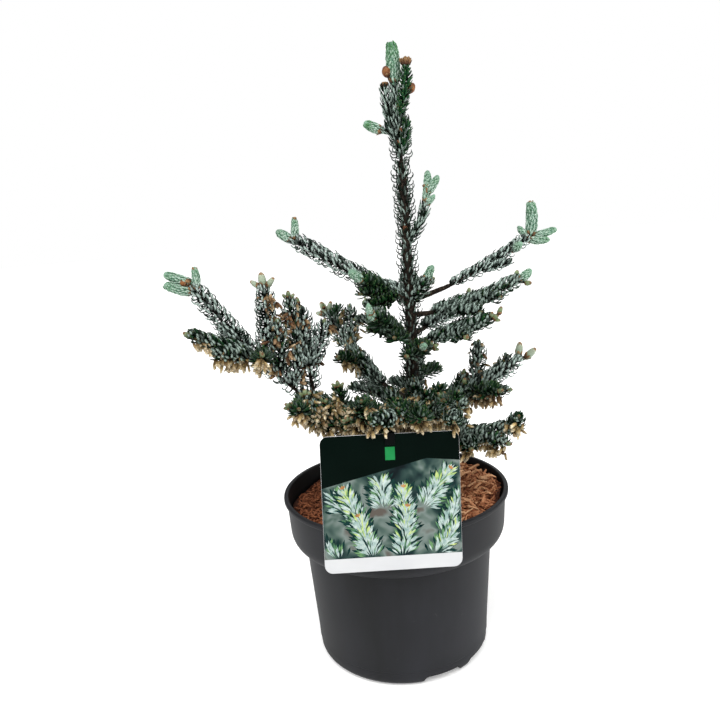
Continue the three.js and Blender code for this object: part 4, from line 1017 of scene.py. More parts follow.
def sow_bud(foot, way, length, radius, kind=buds, pale=(0.4, 1.0), frost=0.1):
    """One bud with a few scales round its foot: swollen and pale, or brown with resin."""
    way = unit(way)
    side = unit(np.cross(way, random.normal(0, 1, 3)))
    kind.add(root=foot + way * length * 0.42, grow=way[None], face=side[None],
             size=np.array([[radius, radius, length / 2]]), tint=random.uniform(*pale), frost=frost)
    sow_scales(foot, way, 5, radius * 0.55, length * 0.4, 0.42)


def sow_young(sprouts, path, start, ripe=0.3, stout=1.0):
    """A newly grown shoot from a share of a path to its end: a blunt sheath of small needles, all pressed
    forwards and closing over its end, round a soft axis, above the torn scales of the bud it came from."""
    length = path.length * (1 - start)
    widest = stout * min(YOUNG["radius"][1], YOUNG["radius"][0] + YOUNG["slope"] * length)
    reach = YOUNG["needle"] * min(1.0, 0.55 + length / 40)
    dome = 1 - 0.55 * reach / length

    def swell(share):
        return np.sqrt(np.clip(1 - ((share - 0.52) / 0.66) ** 2, 0.02, 1))

    knots = np.linspace(0.03, 0.93, max(4, int(length / 2.0)))
    point, along, across, _ = path.frame(start + (1 - start) * knots)
    body = widest * 0.84 * swell(knots)
    size = np.stack((body, body, np.full(len(knots), length / len(knots) * 0.9 + 0.9)), 1)
    axes.add(root=point, grow=along, face=across, size=size, tint=random.uniform(0.3, 0.9, len(knots)))

    count = int(YOUNG["dense"] * length)
    i = np.arange(count)
    share = (i + random.uniform(0.1, 0.9, count)) / count
    point, along, across, up = path.frame(start + (1 - start) * share * dome)
    out = swung(across, up, i * GOLDEN + random.uniform(-0.25, 0.25, count))
    opened = mix(0.5, 0.12, share) + random.uniform(-0.08, 0.1, count)
    grow = unit(swung(along, out, opened))
    root = point + out * (widest * 0.76 * swell(share * dome))[:, None]
    reach = reach * random.uniform(0.8, 1.1, count)
    curl = mix(0.5, 1.5, share ** 2) * random.uniform(0.85, 1.15, count)
    width = YOUNG["half"] * random.uniform(0.85, 1.1, count)
    tint = mix(0.1, 0.3 + ripe * 0.7, share ** 1.5) + random.normal(0, 0.14, count)
    frost = mix(1.0, 0.85 - 0.8 * ripe, share ** 2) * random.uniform(0.6, 1.1, count)
    sprouts.add(root=root, grow=grow, face=square_to(-out, grow), reach=reach, curl=curl, straight=0.2,
                width=width, tint=np.clip(tint, 0, 1), frost=np.clip(frost, 0, 1))
    sow_scales(path.at(start), path.tangent(start), 12, widest * 0.45, 4.4, 0.6)


def finish_tip(shoot):
    """What stands at a shoot's tip: pale buds, a crown of three, a resting brown one or torn scales."""
    path, kind = shoot["path"], shoot["tip"]
    tip, way = path.at(1.0), path.tangent(1.0)
    side = unit(np.cross(way, (0.15, 0.9, 0.4)))
    if kind in ("buds", "bud"):
        sow_bud(tip - way * 6.0, way, random.uniform(6.0, 7.4), random.uniform(1.6, 2.0))
        for aside in (-side, side) if kind == "buds" else ():
            sow_bud(tip - way * 6.0 + aside * 1.2, way + aside, 5.8, 1.45, frost=random.uniform(0, 0.5))
    elif kind == "crown":
        for aside, length, radius in ((side * 0, 13, 3.1), (-side, 11, 2.3), (side, 11, 2.3)):
            sow_bud(tip - way * 8.5 + aside * 2.2, way + aside * 1.2, length, radius, pale=(0.8, 1.3),
                    frost=0.8)
    elif kind == "plump":
        sow_bud(tip - way * 12.5, way, 13.0, 3.0, pale=(0.5, 0.95), frost=0.85)
    elif kind == "small":
        sow_bud(tip - way * 3.5, way, 3.8, 1.4, pale=(0.0, 0.4))
    elif kind == "cap":
        sow_scales(tip - way * 3.0, way, 30, 3.4, 4.6, 0.3)
        sow_scales(tip - way * 2.0, way, 16, 1.4, 4.4, 0.15)
    elif kind == "flat":
        sow_scales(tip - way * 3.0, way, 9, 2.2, 3.0, 0.3)
    elif kind == "stalk":
        sow_bud(tip - way * 5, way, 8.6 * shoot["stout"], 3.6 * shoot["stout"], brown_buds)
    elif kind == "scales":
        sow_scales(tip - way * 2.6, way, 9 if shoot["look"] == "young" else 14, 1.4, 3.6, 0.1)


def sow_cones(path, start, top, density, red):
    """Spent pollen cones in bunches along a shoot. A bunch grows from one place, to one side of an upright
    shoot or beneath a level one, and hangs from there."""
    bunches = int(density * path.length * (1 - start) / CONES["bunch"])
    if not bunches:
        return
    bunch = np.repeat(np.arange(bunches), random.integers(*CONES["each"], bunches))
    count = len(bunch)
    centre = start + (top - start) * (np.arange(bunches) + random.uniform(0.1, 0.9, bunches)) / bunches
    share = np.clip(centre[bunch] + random.normal(0, 3.0 / path.length, count), start, top + 0.04)
    point, along, across, up = path.frame(share)
    level = (1 - along[:, 2] ** 2)[:, None]
    spin = random.uniform(0, 2 * np.pi, bunches)[bunch] + random.normal(0, 0.55, count)
    out = swung(across, up, spin)
    fall = np.array((0, 0, -1.0))
    to_left = random.uniform(0, 1, bunches) < 0.5
    apart = np.where(to_left, -1.0, 1.0)[bunch, None] * np.array((0.9, 0, 0)) * (1 - level)
    aside = unit(fall * level + out * (1.1 - 0.5 * level) + apart + random.normal(0, 0.15, (count, 3)))
    ahead = along * random.uniform(-0.5, 0.5, count)[:, None]
    grow = unit(fall * 0.65 + aside * 0.5 + ahead + random.normal(0, 0.45, (count, 3)))
    length = random.uniform(*CONES["length"], count)
    stalk = random.uniform(*CONES["stalk"], count) + 1.5 * (1 - level[:, 0])
    thick = random.uniform(*CONES["radius"], count)
    root = point + aside * stalk[:, None] + grow * (length / 2)[:, None]
    tip = root + grow * (length / 2)[:, None]
    mask = clear_of_label(root, 1.8) & clear_of_label(tip, 1.0) & clear_of_trunk(root, 1.8)
    face = unit(np.cross(grow, random.normal(0, 1, (count, 3))))
    size = np.stack((thick, thick * 0.8, length / 2), 1)
    cones.add(**keep(mask, root=root, grow=grow, face=face, size=size,
                     tint=random.uniform(0.05, 1.05, count),
                     frost=np.clip(red + random.normal(0, 0.2, count), 0, 1)))


def clothe(shoot):
    """Sows all that one shoot carries, and gives its bare twig, if it has one, as (path, start, end,
    radii)."""
    path, look, tip, stout = shoot["path"], shoot["look"], shoot["tip"], shoot["stout"]
    mass, region, mint = shoot["mass"], REGION_OF[shoot["mass"]], shoot["mint_from"]
    fresh = needles[region, "young"]
    twig = None
    if look == "young" and tip in STALKS:
        twig = (path, 0.0, *STALKS[tip])
    elif look == "young":
        sow_young(fresh, path, 0.0, stout=stout)
    else:
        radii = TWIG if shoot["stem"] else SIDE_TWIG
        twig = (path, shoot["start"] * 0.97, min(0.97, mint + 0.1), radii)
        clothed = 1 - TIP_ROOM.get(tip, 2.0) / path.length
        sow_needles(needles[region, MADE_OF.get(look, look)], path, shoot["skirt"], min(clothed, mint),
                    LOOKS[look], radii[0], shoot["thin"])
        if mint < 1:
            sow_young(fresh, path, mint, 1.0 if mass == "leader" else 0.3, stout)
        upright = path.tangent(0.5)[2] > STEEP
        top = CONES["top_in_front"] if upright and region == "front" else CONES["top"]
        # The old cones are redder on the left bough's upright shoots and on the right bough.
        red = 0.8 if upright and region == "left" else 0.6 if mass == "right" else 0.2
        sow_cones(path, shoot["start"] + 0.12, top, shoot["cones"], red)
    finish_tip(shoot)
    return twig


def clothe_trunk():
    """The needles and the resting buds that stand on the trunk itself."""
    for low, high, look, dense in TRUNK_NEEDLES:
        line = Path(trunk_at(low), trunk_at((low + high) / 2), trunk_at(high))
        worn = LOOKS[look] | {"dense": dense}
        sow_needles(needles["top", MADE_OF[look]], line, 0.0, 1.0, worn, trunk_radius(high))
    for height, way, length in TRUNK_KNOBS:
        out = heading(way, 30)
        foot = trunk_at(height) + out * (trunk_radius(height) + 1.0)
        sow_bud(foot, out, length, length * 0.42, brown_buds, pale=(0.0, 0.35))


TWIGS = [twig for twig in map(clothe, SHOOTS) if twig]
clothe_trunk()

# ---------------------------------------------------------------- plant pieces


def curve_of(name, lines):
    """One curve with a spline for every line, given as (points, radii) in millimetres."""
    curve = bpy.data.curves.new(name, "CURVE")
    curve.dimensions = "3D"
    for points, radii in lines:
        spline = curve.splines.new("POLY")
        spline.points.add(len(points) - 1)
        for point, position, radius in zip(spline.points, points, radii):
            point.co = (*(c * MM for c in position), 1)
            point.radius = radius * MM
    return curve


def ovoid(name, squeeze=0.0, rings=7, sides=9, blunt=2):
    """A small round body from -1 to 1 along Z, slimmer to its tip, with its place along it as a value."""
    body = bmesh.new()
    bmesh.ops.create_uvsphere(body, u_segments=sides, v_segments=rings, radius=1)
    for vertex in body.verts:
        z = vertex.co.z
        ring = math.sqrt(max(1e-9, 1 - z ** 2))
        slim = (1 - squeeze * max(0.0, z)) * math.sqrt(max(0.0, 1 - abs(z) ** blunt)) / ring
        vertex.co.x *= slim
        vertex.co.y *= slim
    mesh = mesh_of(body, name)
    place = mesh.attributes.new("along", "FLOAT", "POINT")
    place.data.foreach_set("value", [(v.co.z + 1) / 2 for v in mesh.vertices])
    return new_object(name, mesh)


def stand_for(piece, slot, *nodes):
    """Puts a piece on the one body, in place of the solid model's nodes, which it hides. Its slot is not
    used.
    """
    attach(piece, "root")
    if nodes:
        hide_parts(*nodes)


def make_wood():
    heights = np.linspace(FOOT, TOP, 60)
    lines = [([trunk_at(z) for z in heights], [trunk_radius(z) for z in heights])]
    trunk = grown("trunk_bark", curve_of("trunk", lines), "limbs",
                  Step=0.0018, Sides=22, Relief=0.0016, Grain=every(3.85), Material=BARK)
    stand_for(trunk, "bark", "trunk")
    lines = []
    for path, bare in LIMBS:
        share = np.linspace(0.0, bare, 24)
        lines.append((path.at(share), mix(*LIMB, share / bare)))
    boughs = grown("boughs_bark", curve_of("boughs", lines), "limbs",
                   Step=0.0014, Sides=12, Relief=0.0009, Grain=every(2.38), Material=BARK)
    stand_for(boughs, "bark", *[node for node in NODES if node.startswith("bough_")])
    lines = [(path.at(np.linspace(start, end, 14)), np.linspace(*radii, 14))
             for path, start, end, radii in TWIGS]
    twigs = grown("twigs_bark", curve_of("twigs", lines), "limbs",
                  Step=0.003, Sides=7, Relief=0.0005, Grain=every(2), Material=BARK)
    stand_for(twigs, "bark")


def make_needles():
    segments = {"young": 3, "dark": 5, "mixed": 6, "silver": 6}
    for (region, look), sprouts in needles.items():
        if not sprouts.count:
            continue
        piece = grown(f"needles_{region}_{look}", sprouts.mesh(), "blades",
                      Segments=segments[look], Thickness=0.00045, Material=NEEDLES[look])
        masses = [f"needles_{mass}" for mass in REGIONS[region]]
        stand_for(piece, "needles", *[mass for mass in masses if mass in NODES])


def make_buds_and_cones():
    bracts = grown("bud_scales", scales.mesh(), "blades", Segments=3, Thickness=0.0002, Material=SCALE)
    stand_for(bracts, "bark")
    bodies = (("buds", buds, ovoid("bud", 0.12, 8, 10, 2.6), 0.0003, every(1.667), BUD),
              ("buds_brown", brown_buds, ovoid("brown_bud", 0.1, 8, 10), 0.0009, every(2), BROWN_BUD),
              ("young_axes", axes, ovoid("axis", 0.0, 5, 8), 0.0003, every(1.667), AXIS),
              ("pollen_cones", cones, ovoid("cone", 0.0, 6, 6, 3), 0.0014, every(1.786), CONE))
    for name, sprouts, body, roughen, grain, finish in bodies:
        piece = grown(name, sprouts.mesh(), "bodies",
                      Body=body, Roughen=roughen, Grain=grain, Material=finish)
        stand_for(piece, "needles")
        bpy.data.objects.remove(body)


make_wood()
make_needles()
make_buds_and_cones()

# ---------------------------------------------------------------- pot and mulch


def lathe(name, profile, sides):
    """A closed shell turned from a profile of (radius, height) that starts and ends on the axis."""
    vertices, rings = [], []
    for radius, height in profile:
        if radius < 1e-6:
            rings.append([len(vertices)])
            vertices.append((0, 0, height))
            continue
        rings.append(list(range(len(vertices), len(vertices) + sides)))
        angles = 2 * np.pi * np.arange(sides) / sides
        vertices.extend(zip(radius * np.cos(angles), radius * np.sin(angles), [height] * sides))
    faces = []
    for low, high in zip(rings, rings[1:]):
        for i in range(sides):
            j = (i + 1) % sides
            corners = [low[i % len(low)], low[j % len(low)], high[j % len(high)], high[i % len(high)]]
            faces.append(list(dict.fromkeys(corners)))
    return face_outwards(plain_mesh(name, vertices, faces))


def arc(centre, radius, start, end, steps):
    """Points of an arc in the (radius, height) plane, between two angles in degrees."""
    angles = np.radians(np.linspace(start, end, steps))
    return [(centre[0] + radius * math.cos(a), centre[1] + radius * math.sin(a)) for a in angles]


def pot_profile():
    """Underside, rounded foot, body with its moulded line, collar band, rolled lip, and the inside."""
    rim, height, wall, band, band_foot = (POT[key] for key in ("rim", "height", "wall", "band", "band_foot"))
    (top_r, top_z), foot, foot_round, line = POT["body_top"], POT["foot"], POT["foot_round"], POT["line"]
    lip_foot = height - POT["lip"]

    def body(z):
        return mix(foot + 0.4, top_r, (z - foot_round) / (top_z - foot_round))

    outer = [(0, 0), (40, 0), (foot - foot_round, 0)]
    outer += arc((foot + 0.4 - foot_round, foot_round), foot_round, -72, 0, 7)
    outer += [(body(line - 0.8), line - 0.8), (body(line) - 0.1, line - 0.3)]
    outer += [(body(line) + 0.28, line + 0.15), (body(line) + 0.28, line + 0.6)]
    outer += [(body(z), z) for z in (20, 40, 60, 80, 94)]
    knee = Path((top_r, top_z, 0), (band - 1, top_z + 1, 0), (band, band_foot, 0))
    outer += [(r, z) for r, z, _ in knee.at(np.linspace(0, 1, 12))]
    outer += [(mix(band, rim - 2.4, s), mix(band_foot, lip_foot, s)) for s in (0.3, 0.6, 0.9, 1)]
    outer += arc((rim - 1.1, lip_foot + 1.0), 1.1, -70, 0, 5)
    outer += arc((rim - 1.3, height - 1.3), 1.3, 0, 90, 6)
    outer += arc((rim - 3.0, height - 0.9), 0.9, 90, 180, 4)
    ledge, ledge_z = POT["ledge"]
    inner = [(rim - 4.4, lip_foot), (band - wall, band_foot + 1), (top_r - wall + 3, top_z + 3)]
    inner += [(top_r - wall, top_z), (foot - wall + 0.8, ledge_z), (ledge, ledge_z)]
    inner += [(ledge - 6, POT["floor"]), (0, POT["floor"])]
    return outer + inner


def notch_cutter(middle):
    """A wedge under the foot, with slanting sides and rounded upper corners."""
    half, high = NOTCH["half"], NOTCH["height"]
    edge = [(-half - 2.4, -2), (-half - 1.4, 1.2), (-half, high - 1.8), (-half + 1.2, high - 0.4)]
    edge.append((-half + 2.6, high))
    edge += [(a, high) for a in np.linspace(-half + 4, half - 4, 9)]
    edge += [(-a, z) for a, z in reversed(edge[:5])]

    def end(radius):
        turns = [math.radians(middle + angle) for angle, _ in edge]
        return [(radius * math.cos(a), radius * math.sin(a), z) for a, (_, z) in zip(turns, edge)]

    wedge = prism("notch", end(NOTCH["inner"]), end(POT["foot"] + 12))
    return new_object("notch", face_outwards(wedge))


def drain_cutter(middle):
    """An upright rod where a hole goes through the raised floor."""
    way, radius = math.radians(middle), NOTCH["drain"] * MM
    x, y = NOTCH["drain_at"] * math.cos(way) * MM, NOTCH["drain_at"] * math.sin(way) * MM
    rod = bmesh.new()
    bmesh.ops.create_cone(rod, cap_ends=True, segments=28, radius1=radius, radius2=radius, depth=0.02,
                          matrix=Matrix.Translation((x, y, 0.008)))
    return new_object("drain", mesh_of(rod, "drain"))


def make_pot():
    pot = new_object("pot_shell", lathe("pot_shell", pot_profile(), 160))
    cutters = [cut(angle) for angle in NOTCH["angles"] for cut in (notch_cutter, drain_cutter)]
    for cutter in cutters:
        boolean = pot.modifiers.new("cut", "BOOLEAN")
        boolean.object, boolean.solver, boolean.operation = cutter, "EXACT", "DIFFERENCE"
    bpy.context.view_layer.update()
    cut = bpy.data.meshes.new_from_object(pot.evaluated_get(bpy.context.evaluated_depsgraph_get()))
    for thing in (*cutters, pot):
        bpy.data.objects.remove(thing)
    cut.name = "pot_shell"
    cut.materials.clear()
    cut.materials.append(PLASTIC)
    cut.polygons.foreach_set("material_index", [0] * len(cut.polygons))
    cut.polygons.foreach_set("use_smooth", [True] * len(cut.polygons))
    cut.set_sharp_from_angle(angle=math.radians(32))
    stand_for(new_object("pot_shell", cut), "plastic", "pot")


def bed_surface(random_bed):
    """The height of the bed over a place: it swells to its crown in low waves, and is heaped on the right,
    most of all at the rim there."""
    waves = random_bed.uniform(0.02, 0.09, (7, 2)) * random_bed.choice((-1, 1), (7, 2))
    phases = random_bed.uniform(0, 6.28, 7)

    def height(x, y):
        swell = sum(math.sin(a * x + b * y + c) for (a, b), c in zip(waves, phases)) * BED["wave"]
        r = math.hypot(x, y)
        edge = max(0.0, (x - 50) / 36) * min(1.0, max(0.0, (45 - y) / 40))
        heaped = BED["right"] * min(1.0, max(0.0, (x + 5) / 70)) + BED["right_rim"] * edge + BED["loose"]
        crown = mix(SOIL["crown"], SOIL["rim"], min(1.0, r / SOIL["edge"]))
        return crown + swell * min(1.0, r / 25) - BED["sunk"] + heaped

    return height


def chip_body(cuts):
    """A torn strip of bark: a long thin wedge, thicker at one end, curled along its length."""
    chip = bmesh.new()
    bmesh.ops.create_cube(chip, size=1)
    lengthwise = [edge for edge in chip.edges if abs(edge.verts[0].co.x - edge.verts[1].co.x) > 0.5]
    bmesh.ops.subdivide_edges(chip, edges=lengthwise, cuts=cuts)
    for vertex in chip.verts:
        curl = 1.1 * math.cos(vertex.co.x * 3)
        vertex.co.y *= 1 - 0.55 * abs(vertex.co.x)
        vertex.co.y += curl
        vertex.co.z = vertex.co.z * (0.75 + 0.5 * vertex.co.x) + curl
    return new_object("chip", mesh_of(chip, "chip"))


def make_mulch():
    """A closed bed over the root ball and, strewn on it, four lots of loose chips: dark crumbs all over,
    short shreds on the left, and long ones and strips on the right."""
    random_bed = np.random.default_rng(SEEDS["bed"])
    height = bed_surface(random_bed)
    sides = 64

    def ring(r, z=None):
        """Points round the pot's axis, on the bed's surface or at a height of their own."""
        angles = [2 * math.pi * k / sides for k in range(sides)]
        places = [(r * math.cos(a), r * math.sin(a)) for a in angles]
        return [(x, y, height(x, y) if z is None else z) for x, y in places]

    radii = np.linspace(3, SOIL["edge"], 30)
    vertices = [(0.0, 0.0, height(0, 0))] + [point for r in radii for point in ring(r)]
    top = len(vertices)
    vertices += [point for r, z in SOIL["ball"] for point in ring(r, z)] + [(0.0, 0.0, SOIL["ball"][-1][1])]
    faces = [[0, 1 + k, 1 + (k + 1) % sides] for k in range(sides)]
    for band in range(len(radii) + len(SOIL["ball"]) - 1):
        for k in range(sides):
            a, b = 1 + band * sides + k, 1 + band * sides + (k + 1) % sides
            faces.append([a, a + sides, b + sides, b])
    last = len(vertices) - 1
    faces += [[last - sides + k, last, last - sides + (k + 1) % sides] for k in range(sides)]
    bed = plain_mesh("mulch_bed", vertices, faces)
    # The bed gets the darkest tints: painted shade in the gaps between the chips.
    tints = [-0.2 + 0.25 * random_bed.random() for _ in vertices]
    bed.attributes.new("tint", "FLOAT", "POINT").data.foreach_set("value", tints)
    bed.materials.append(MULCH)
    stand_for(new_object("mulch_bed", bed), "mulch", "bark_mulch")

    for name, lot in MULCH_LOTS.items():
        from_x, to_x = lot["between"]
        strewable = [math.hypot(x, y) < lot["within"] and from_x < x < to_x for x, y, _ in vertices]
        patch = [face for face in faces[:sides * len(radii)] if all(strewable[v] for v in face)]
        chip = chip_body(lot["cuts"])
        smallest, largest = (tuple(MM * side for side in lot[size]) for size in ("smallest", "largest"))
        strewn = grown(name, plain_mesh(name + "_ground", vertices[:top], patch), "mulch", Chip=chip,
                       Density=float(lot["dense"]), Depth=0.0045, Smallest=smallest, Largest=largest,
                       Tilt=lot["tilt"], Darkest=lot["tints"][0], Palest=lot["tints"][1],
                       Seed=lot["seed"], Material=MULCH)
        stand_for(strewn, "mulch")
        bpy.data.objects.remove(chip)


make_pot()
make_mulch()

# ---------------------------------------------------------------- label

PRINT = {
    "header": print_ink("ink_deep_green", ("#010a06", "#020c08", "#030f0a"), 50, 0.3, gleam=0.03),
    "panel": print_ink("ink_soft_background",
                       ("#0f171a", "#182829", "#2b3f3c", "#4b5d56", "#717d78", "#56504a"), 16.67, 0.3),
    "shade": print_ink("ink_shadow_leaf", ("#0a201f", "#173834"), 3.333),
    "leaf": print_ink("ink_leaf", ("#3a6650", "#6f9560"), 3.333),
    "frost": print_ink("ink_frost", ("#7d9893", "#bac7c3"), 3.333),
    "fresh": print_ink("ink_fresh_leaf", ("#8fae58", "#c6d18a"), 3.333),
    "stem": print_ink("ink_stem", ("#8a5c38", "#b98a58"), 5),
    "tile": print_ink("ink_bright_green", ("#1c7a40", "#238349"), 10, 0.3),
    "stock": print_ink("label_stock_white", ("#c2c3c5", "#c9cacb"), 25, 0.3),
}
# The print, in the card's own millimetres: the header's lower edge, which rises to a peak, the tile's
# corners, the picture panel's foot and the sides that its sprigs keep within, and how far out the ink goes.
HEADER = {"left": 12.5, "peak": (26, 31), "right": 28.5}
TILE = ((-3.6, 31), (3.4, 31), (3.4, 40.5), (-3.6, 40.5))
PANEL_FOOT, PANEL_SIDE = -39.5, 49.2
BLEED = 49.85
# Rows of printed sprigs, as (height of their feet, number, length), and the layers of strokes in a
# sprig, as (ink, number, length, half width).
SPRIG_ROWS = ((-6, 3, 33), (-24, 3, 33), (-42, 4, 34))
SPRIG_LAYERS = (("shade", 80, 9.6, 1.0), ("leaf", 60, 8.6, 0.7), ("frost", 130, 7.4, 0.6))


def make_card():
    """The stock: a rounded plate with softened edges."""
    width, height, corner, thick = CARD["width"] / 2, CARD["height"] / 2, CARD["corner"], CARD["thick"]
    outline = []
    for cx, cy, start in ((width, -height, -90), (width, height, 0), (-width, height, 90),
                          (-width, -height, 180)):
        centre = (cx - math.copysign(corner, cx), cy - math.copysign(corner, cy))
        outline += arc(centre, corner, start, start + 90, 8)
    count = len(outline)
    vertices, faces = [], []
    for inset, z in ((0.25, 0.0), (0.0, 0.2), (0.0, thick - 0.2), (0.25, thick)):
        shrink_x, shrink_y = 1 - inset / width, 1 - inset / height
        vertices += [CARD_FRAME @ Vector((x * shrink_x, y * shrink_y, z)) for x, y in outline]
    for ring in range(3):
        for i in range(count):
            a, b = ring * count + i, ring * count + (i + 1) % count
            faces.append([a, b, b + count, a + count])
    faces += [list(range(count - 1, -1, -1)), list(range(3 * count, 4 * count))]
    mesh = plain_mesh("label_card_stock", vertices, faces, smooth=False)
    mesh.materials.append(PRINT["stock"])
    stand_for(new_object("label_card_stock", mesh), "card", "label_card")


class Print:
    """Flat shapes of ink, each at its own tiny height over the stock."""

    def __init__(self):
        self.vertices, self.faces, self.inks = [], [], []

    def shape(self, points, ink, level):
        start = len(self.vertices)
        self.vertices += [CARD_FRAME @ Vector((x, y, CARD["thick"] + level)) for x, y in points]
        self.faces.append(list(range(start, start + len(points))))
        self.inks.append(ink)

    def stroke(self, start, end, half, ink, level):
        """A slim leaf-shaped stroke."""
        (x0, y0), (x1, y1) = start, end
        dx, dy = x1 - x0, y1 - y0
        length = math.hypot(dx, dy)
        nx, ny = -dy / length * half, dx / length * half
        mx, my = x0 + dx * 0.6, y0 + dy * 0.6
        self.shape([(x0, y0), (mx - nx, my - ny), (x1, y1), (mx + nx, my + ny)], ink, level)

    def finish(self, name):
        mesh = plain_mesh(name, self.vertices, self.faces, smooth=False)
        names = list(PRINT)
        for ink in names:
            mesh.materials.append(PRINT[ink])
        mesh.polygons.foreach_set("material_index", [names.index(ink) for ink in self.inks])
        stand_for(new_object(name, mesh), "card")


def panel_top(x):
    peak_x, peak_y = HEADER["peak"]
    if x < peak_x:
        return mix(HEADER["left"], peak_y, (x + BLEED) / (peak_x + BLEED))
    return mix(peak_y, HEADER["right"], (x - peak_x) / (BLEED - peak_x))


def in_panel(x, y):
    return abs(x) < PANEL_SIDE and PANEL_FOOT + 0.3 < y < panel_top(x) - 0.5


def draw_sprig(ink, numbers, foot, lean, reach, level):
    """A brush of short strokes along a stem, the darkest beneath and the palest on top, with fresh ones
    and a bud at its tip."""
    way = np.array((math.cos(lean), math.sin(lean)))
    side = np.array((-way[1], way[0]))
    for step, (tone, strokes, long, half) in enumerate(SPRIG_LAYERS):
        for k in range(strokes):
            share, aside = (k + numbers.random()) / strokes, numbers.uniform(-1, 1)
            start = foot + way * reach * share + side * aside * (6.4 - 1.1 * step) * (1.1 - 0.6 * share)
            turn = lean + aside * mix(1.2, 0.7, share)
            end = start + np.array((math.cos(turn), math.sin(turn))) * long * numbers.uniform(0.7, 1.05)
            if in_panel(*start) and in_panel(*end):
                fresh = tone == "frost" and numbers.random() < 0.5 * (share - 0.35)
                ink.stroke(start, end, half, "fresh" if fresh else tone, level + 0.004 * step + 0.00003 * k)
    tip = foot + way * (reach + 1.5)
    for turn in (-0.7, 0.0, 0.7):
        end = tip + np.array((math.cos(lean + turn), math.sin(lean + turn))) * 3.0
        if in_panel(*tip) and in_panel(*end):
            ink.stroke(tip, end, 0.8, "stem", level + 0.014)


def make_print():
    """A deep green header with a plain green tile, a panel of frosted sprigs that rise in rows and lean
    outwards like a fan, and a bare foot strip."""
    ink = Print()
    rounded = CARD["corner"] - 0.4
    inset = BLEED - rounded
    corners = arc((inset, inset), rounded, 0, 90, 8) + arc((-inset, inset), rounded, 90, 180, 8)
    edge = [(BLEED, panel_top(BLEED)), HEADER["peak"], (-BLEED, panel_top(-BLEED))]
    ink.shape([*reversed(edge), *corners], "header", 0.03)
    ink.shape([(-BLEED, PANEL_FOOT), (BLEED, PANEL_FOOT), *edge], "panel", 0.02)
    ink.shape(TILE, "tile", 0.05)
    numbers = np.random.default_rng(SEEDS["print"])
    for row, (base, count, length) in enumerate(SPRIG_ROWS):
        for i in range(count):
            x = mix(-44, 44, (i + 0.5 * (row % 2) + 0.3) / count)
            y, reach = base + numbers.uniform(-3, 3), length * numbers.uniform(0.85, 1.1)
            lean = math.radians(90 - x * 1.1 + numbers.uniform(-16, 16))
            draw_sprig(ink, numbers, np.array((x, y)), lean, reach, 0.03 + 0.02 * (row * count + i) / 5)
    ink.finish("label_print")


def make_clip():
    """The strip that folds over the card's edge and runs down into the pot as a spike."""
    top, front = CARD["height"] / 2 + GAP, CARD["thick"] + GAP
    strip, lap, inset = CLIP["strip"], CLIP["lap"], CLIP["inset"]
    foot = (CLIP["foot"] - CARD["centre"][1]) / math.cos(math.radians(CARD["lean"]))
    outline = [(front, top - lap), (front + strip, top - lap), (front + strip, top + strip * 0.4),
               (front, top + strip), (-GAP, top + strip), (-GAP - strip, top - 4), (-inset - strip, foot),
               (-inset, foot), (-GAP, top - 14), (-GAP, top), (front, top)]
    half = CLIP["width"] / 2
    sides = [[CARD_FRAME @ Vector((x, up, out)) for out, up in outline] for x in (-half, half)]
    mesh = face_outwards(prism("label_clip_strip", *sides, smooth=False), soften=0.25)
    mesh.materials.append(print_ink("clip_plastic_black", ("#030606", "#060a0a"), 16.67, 0.4, gleam=0.06))
    stand_for(new_object("label_clip_strip", mesh), "clip", "label_clip")


make_card()
make_print()
make_clip()

# ---------------------------------------------------------------- stage, light and camera

# Lamps as (name, kind, place, size in metres or spread in radians, power). All look at the plant's middle.
LAMPS = (("overhead", "SUN", (-0.4, -0.8, 1.9), 0.8, 2.35), ("left", "AREA", (-1.4, -0.4, 0.6), 0.9, 4.5),
         ("right", "AREA", (1.4, -0.2, 0.5), 0.9, 7.5), ("front", "AREA", (0.8, -1.0, 1.5), 0.9, 12),
         ("back", "AREA", (0.3, 1.5, 1.2), 1.0, 6))
LIT_AT = Vector((0, 0, 0.24))
FLOOR = {"radius": 9, "sides": 96, "drop": 0.0004}
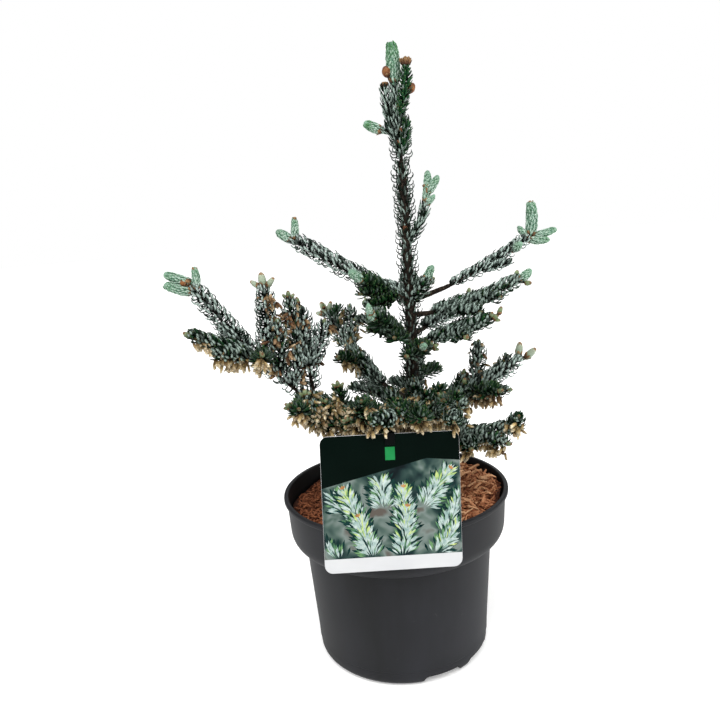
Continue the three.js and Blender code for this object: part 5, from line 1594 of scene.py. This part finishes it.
# The camera: metres behind the pot's axis and above the floor, turns in radians, and its focal length
# as a share of the picture's width.
CAMERA = {"back": 0.5584, "height": 0.370, "pitch": 0.2077, "roll": -0.0672, "yaw": -0.0407,
          "focal": 692.2 / 720, "sensor": 36}


def make_stage():
    sheet = bmesh.new()
    bmesh.ops.create_circle(sheet, cap_ends=True, segments=FLOOR["sides"], radius=FLOOR["radius"],
                            matrix=Matrix.Translation((0, 0, -FLOOR["drop"])))
    data = mesh_of(sheet, "studio_floor")
    data.materials.append(studio_floor())
    new_object("studio_floor", data)
    world = bpy.data.worlds.new("studio")
    bpy.context.scene.world = world
    world.use_nodes = True
    # The room is a white tent seen by the camera, and it lights the plant less than the lamps do.
    tree = world.node_tree
    seen = add(tree, "ShaderNodeLightPath").outputs["Is Camera Ray"]
    strength = add(tree, SPAN, {"Value": seen, "To Min": 0.32, "To Max": 1.0})
    fill(tree, tree.nodes["Background"], {"Color": linear(1), "Strength": strength})
    for name, kind, place, size, power in LAMPS:
        light = bpy.data.lights.new(name, kind)
        light.energy = power
        if kind == "SUN":
            light.angle = size
        else:
            light.size = size
        lamp = new_object(name, light)
        lamp.location = place
        lamp.rotation_euler = (LIT_AT - Vector(place)).to_track_quat("-Z", "Y").to_euler()


def make_camera():
    data = bpy.data.cameras.new("camera")
    data.sensor_width = CAMERA["sensor"]
    data.lens = CAMERA["focal"] * CAMERA["sensor"]
    data.clip_start, data.clip_end = 0.01, 20
    camera = new_object("camera", data)
    pitch, yaw, roll = CAMERA["pitch"], CAMERA["yaw"], CAMERA["roll"]
    look = Vector((math.sin(yaw) * math.cos(pitch), math.cos(yaw) * math.cos(pitch), -math.sin(pitch)))
    level = look.cross(Vector((0, 0, 1))).normalized()
    up = level.cross(look)
    right = level * math.cos(roll) + up * math.sin(roll)
    above = up * math.cos(roll) - level * math.sin(roll)
    turned = Matrix((right, above, -look)).transposed().to_4x4()
    camera.matrix_world = Matrix.Translation((0, -CAMERA["back"], CAMERA["height"])) @ turned
    bpy.context.scene.camera = camera
    bpy.context.scene.view_settings.view_transform = "Standard"


make_stage()
make_camera()

bpy.context.view_layer.update()
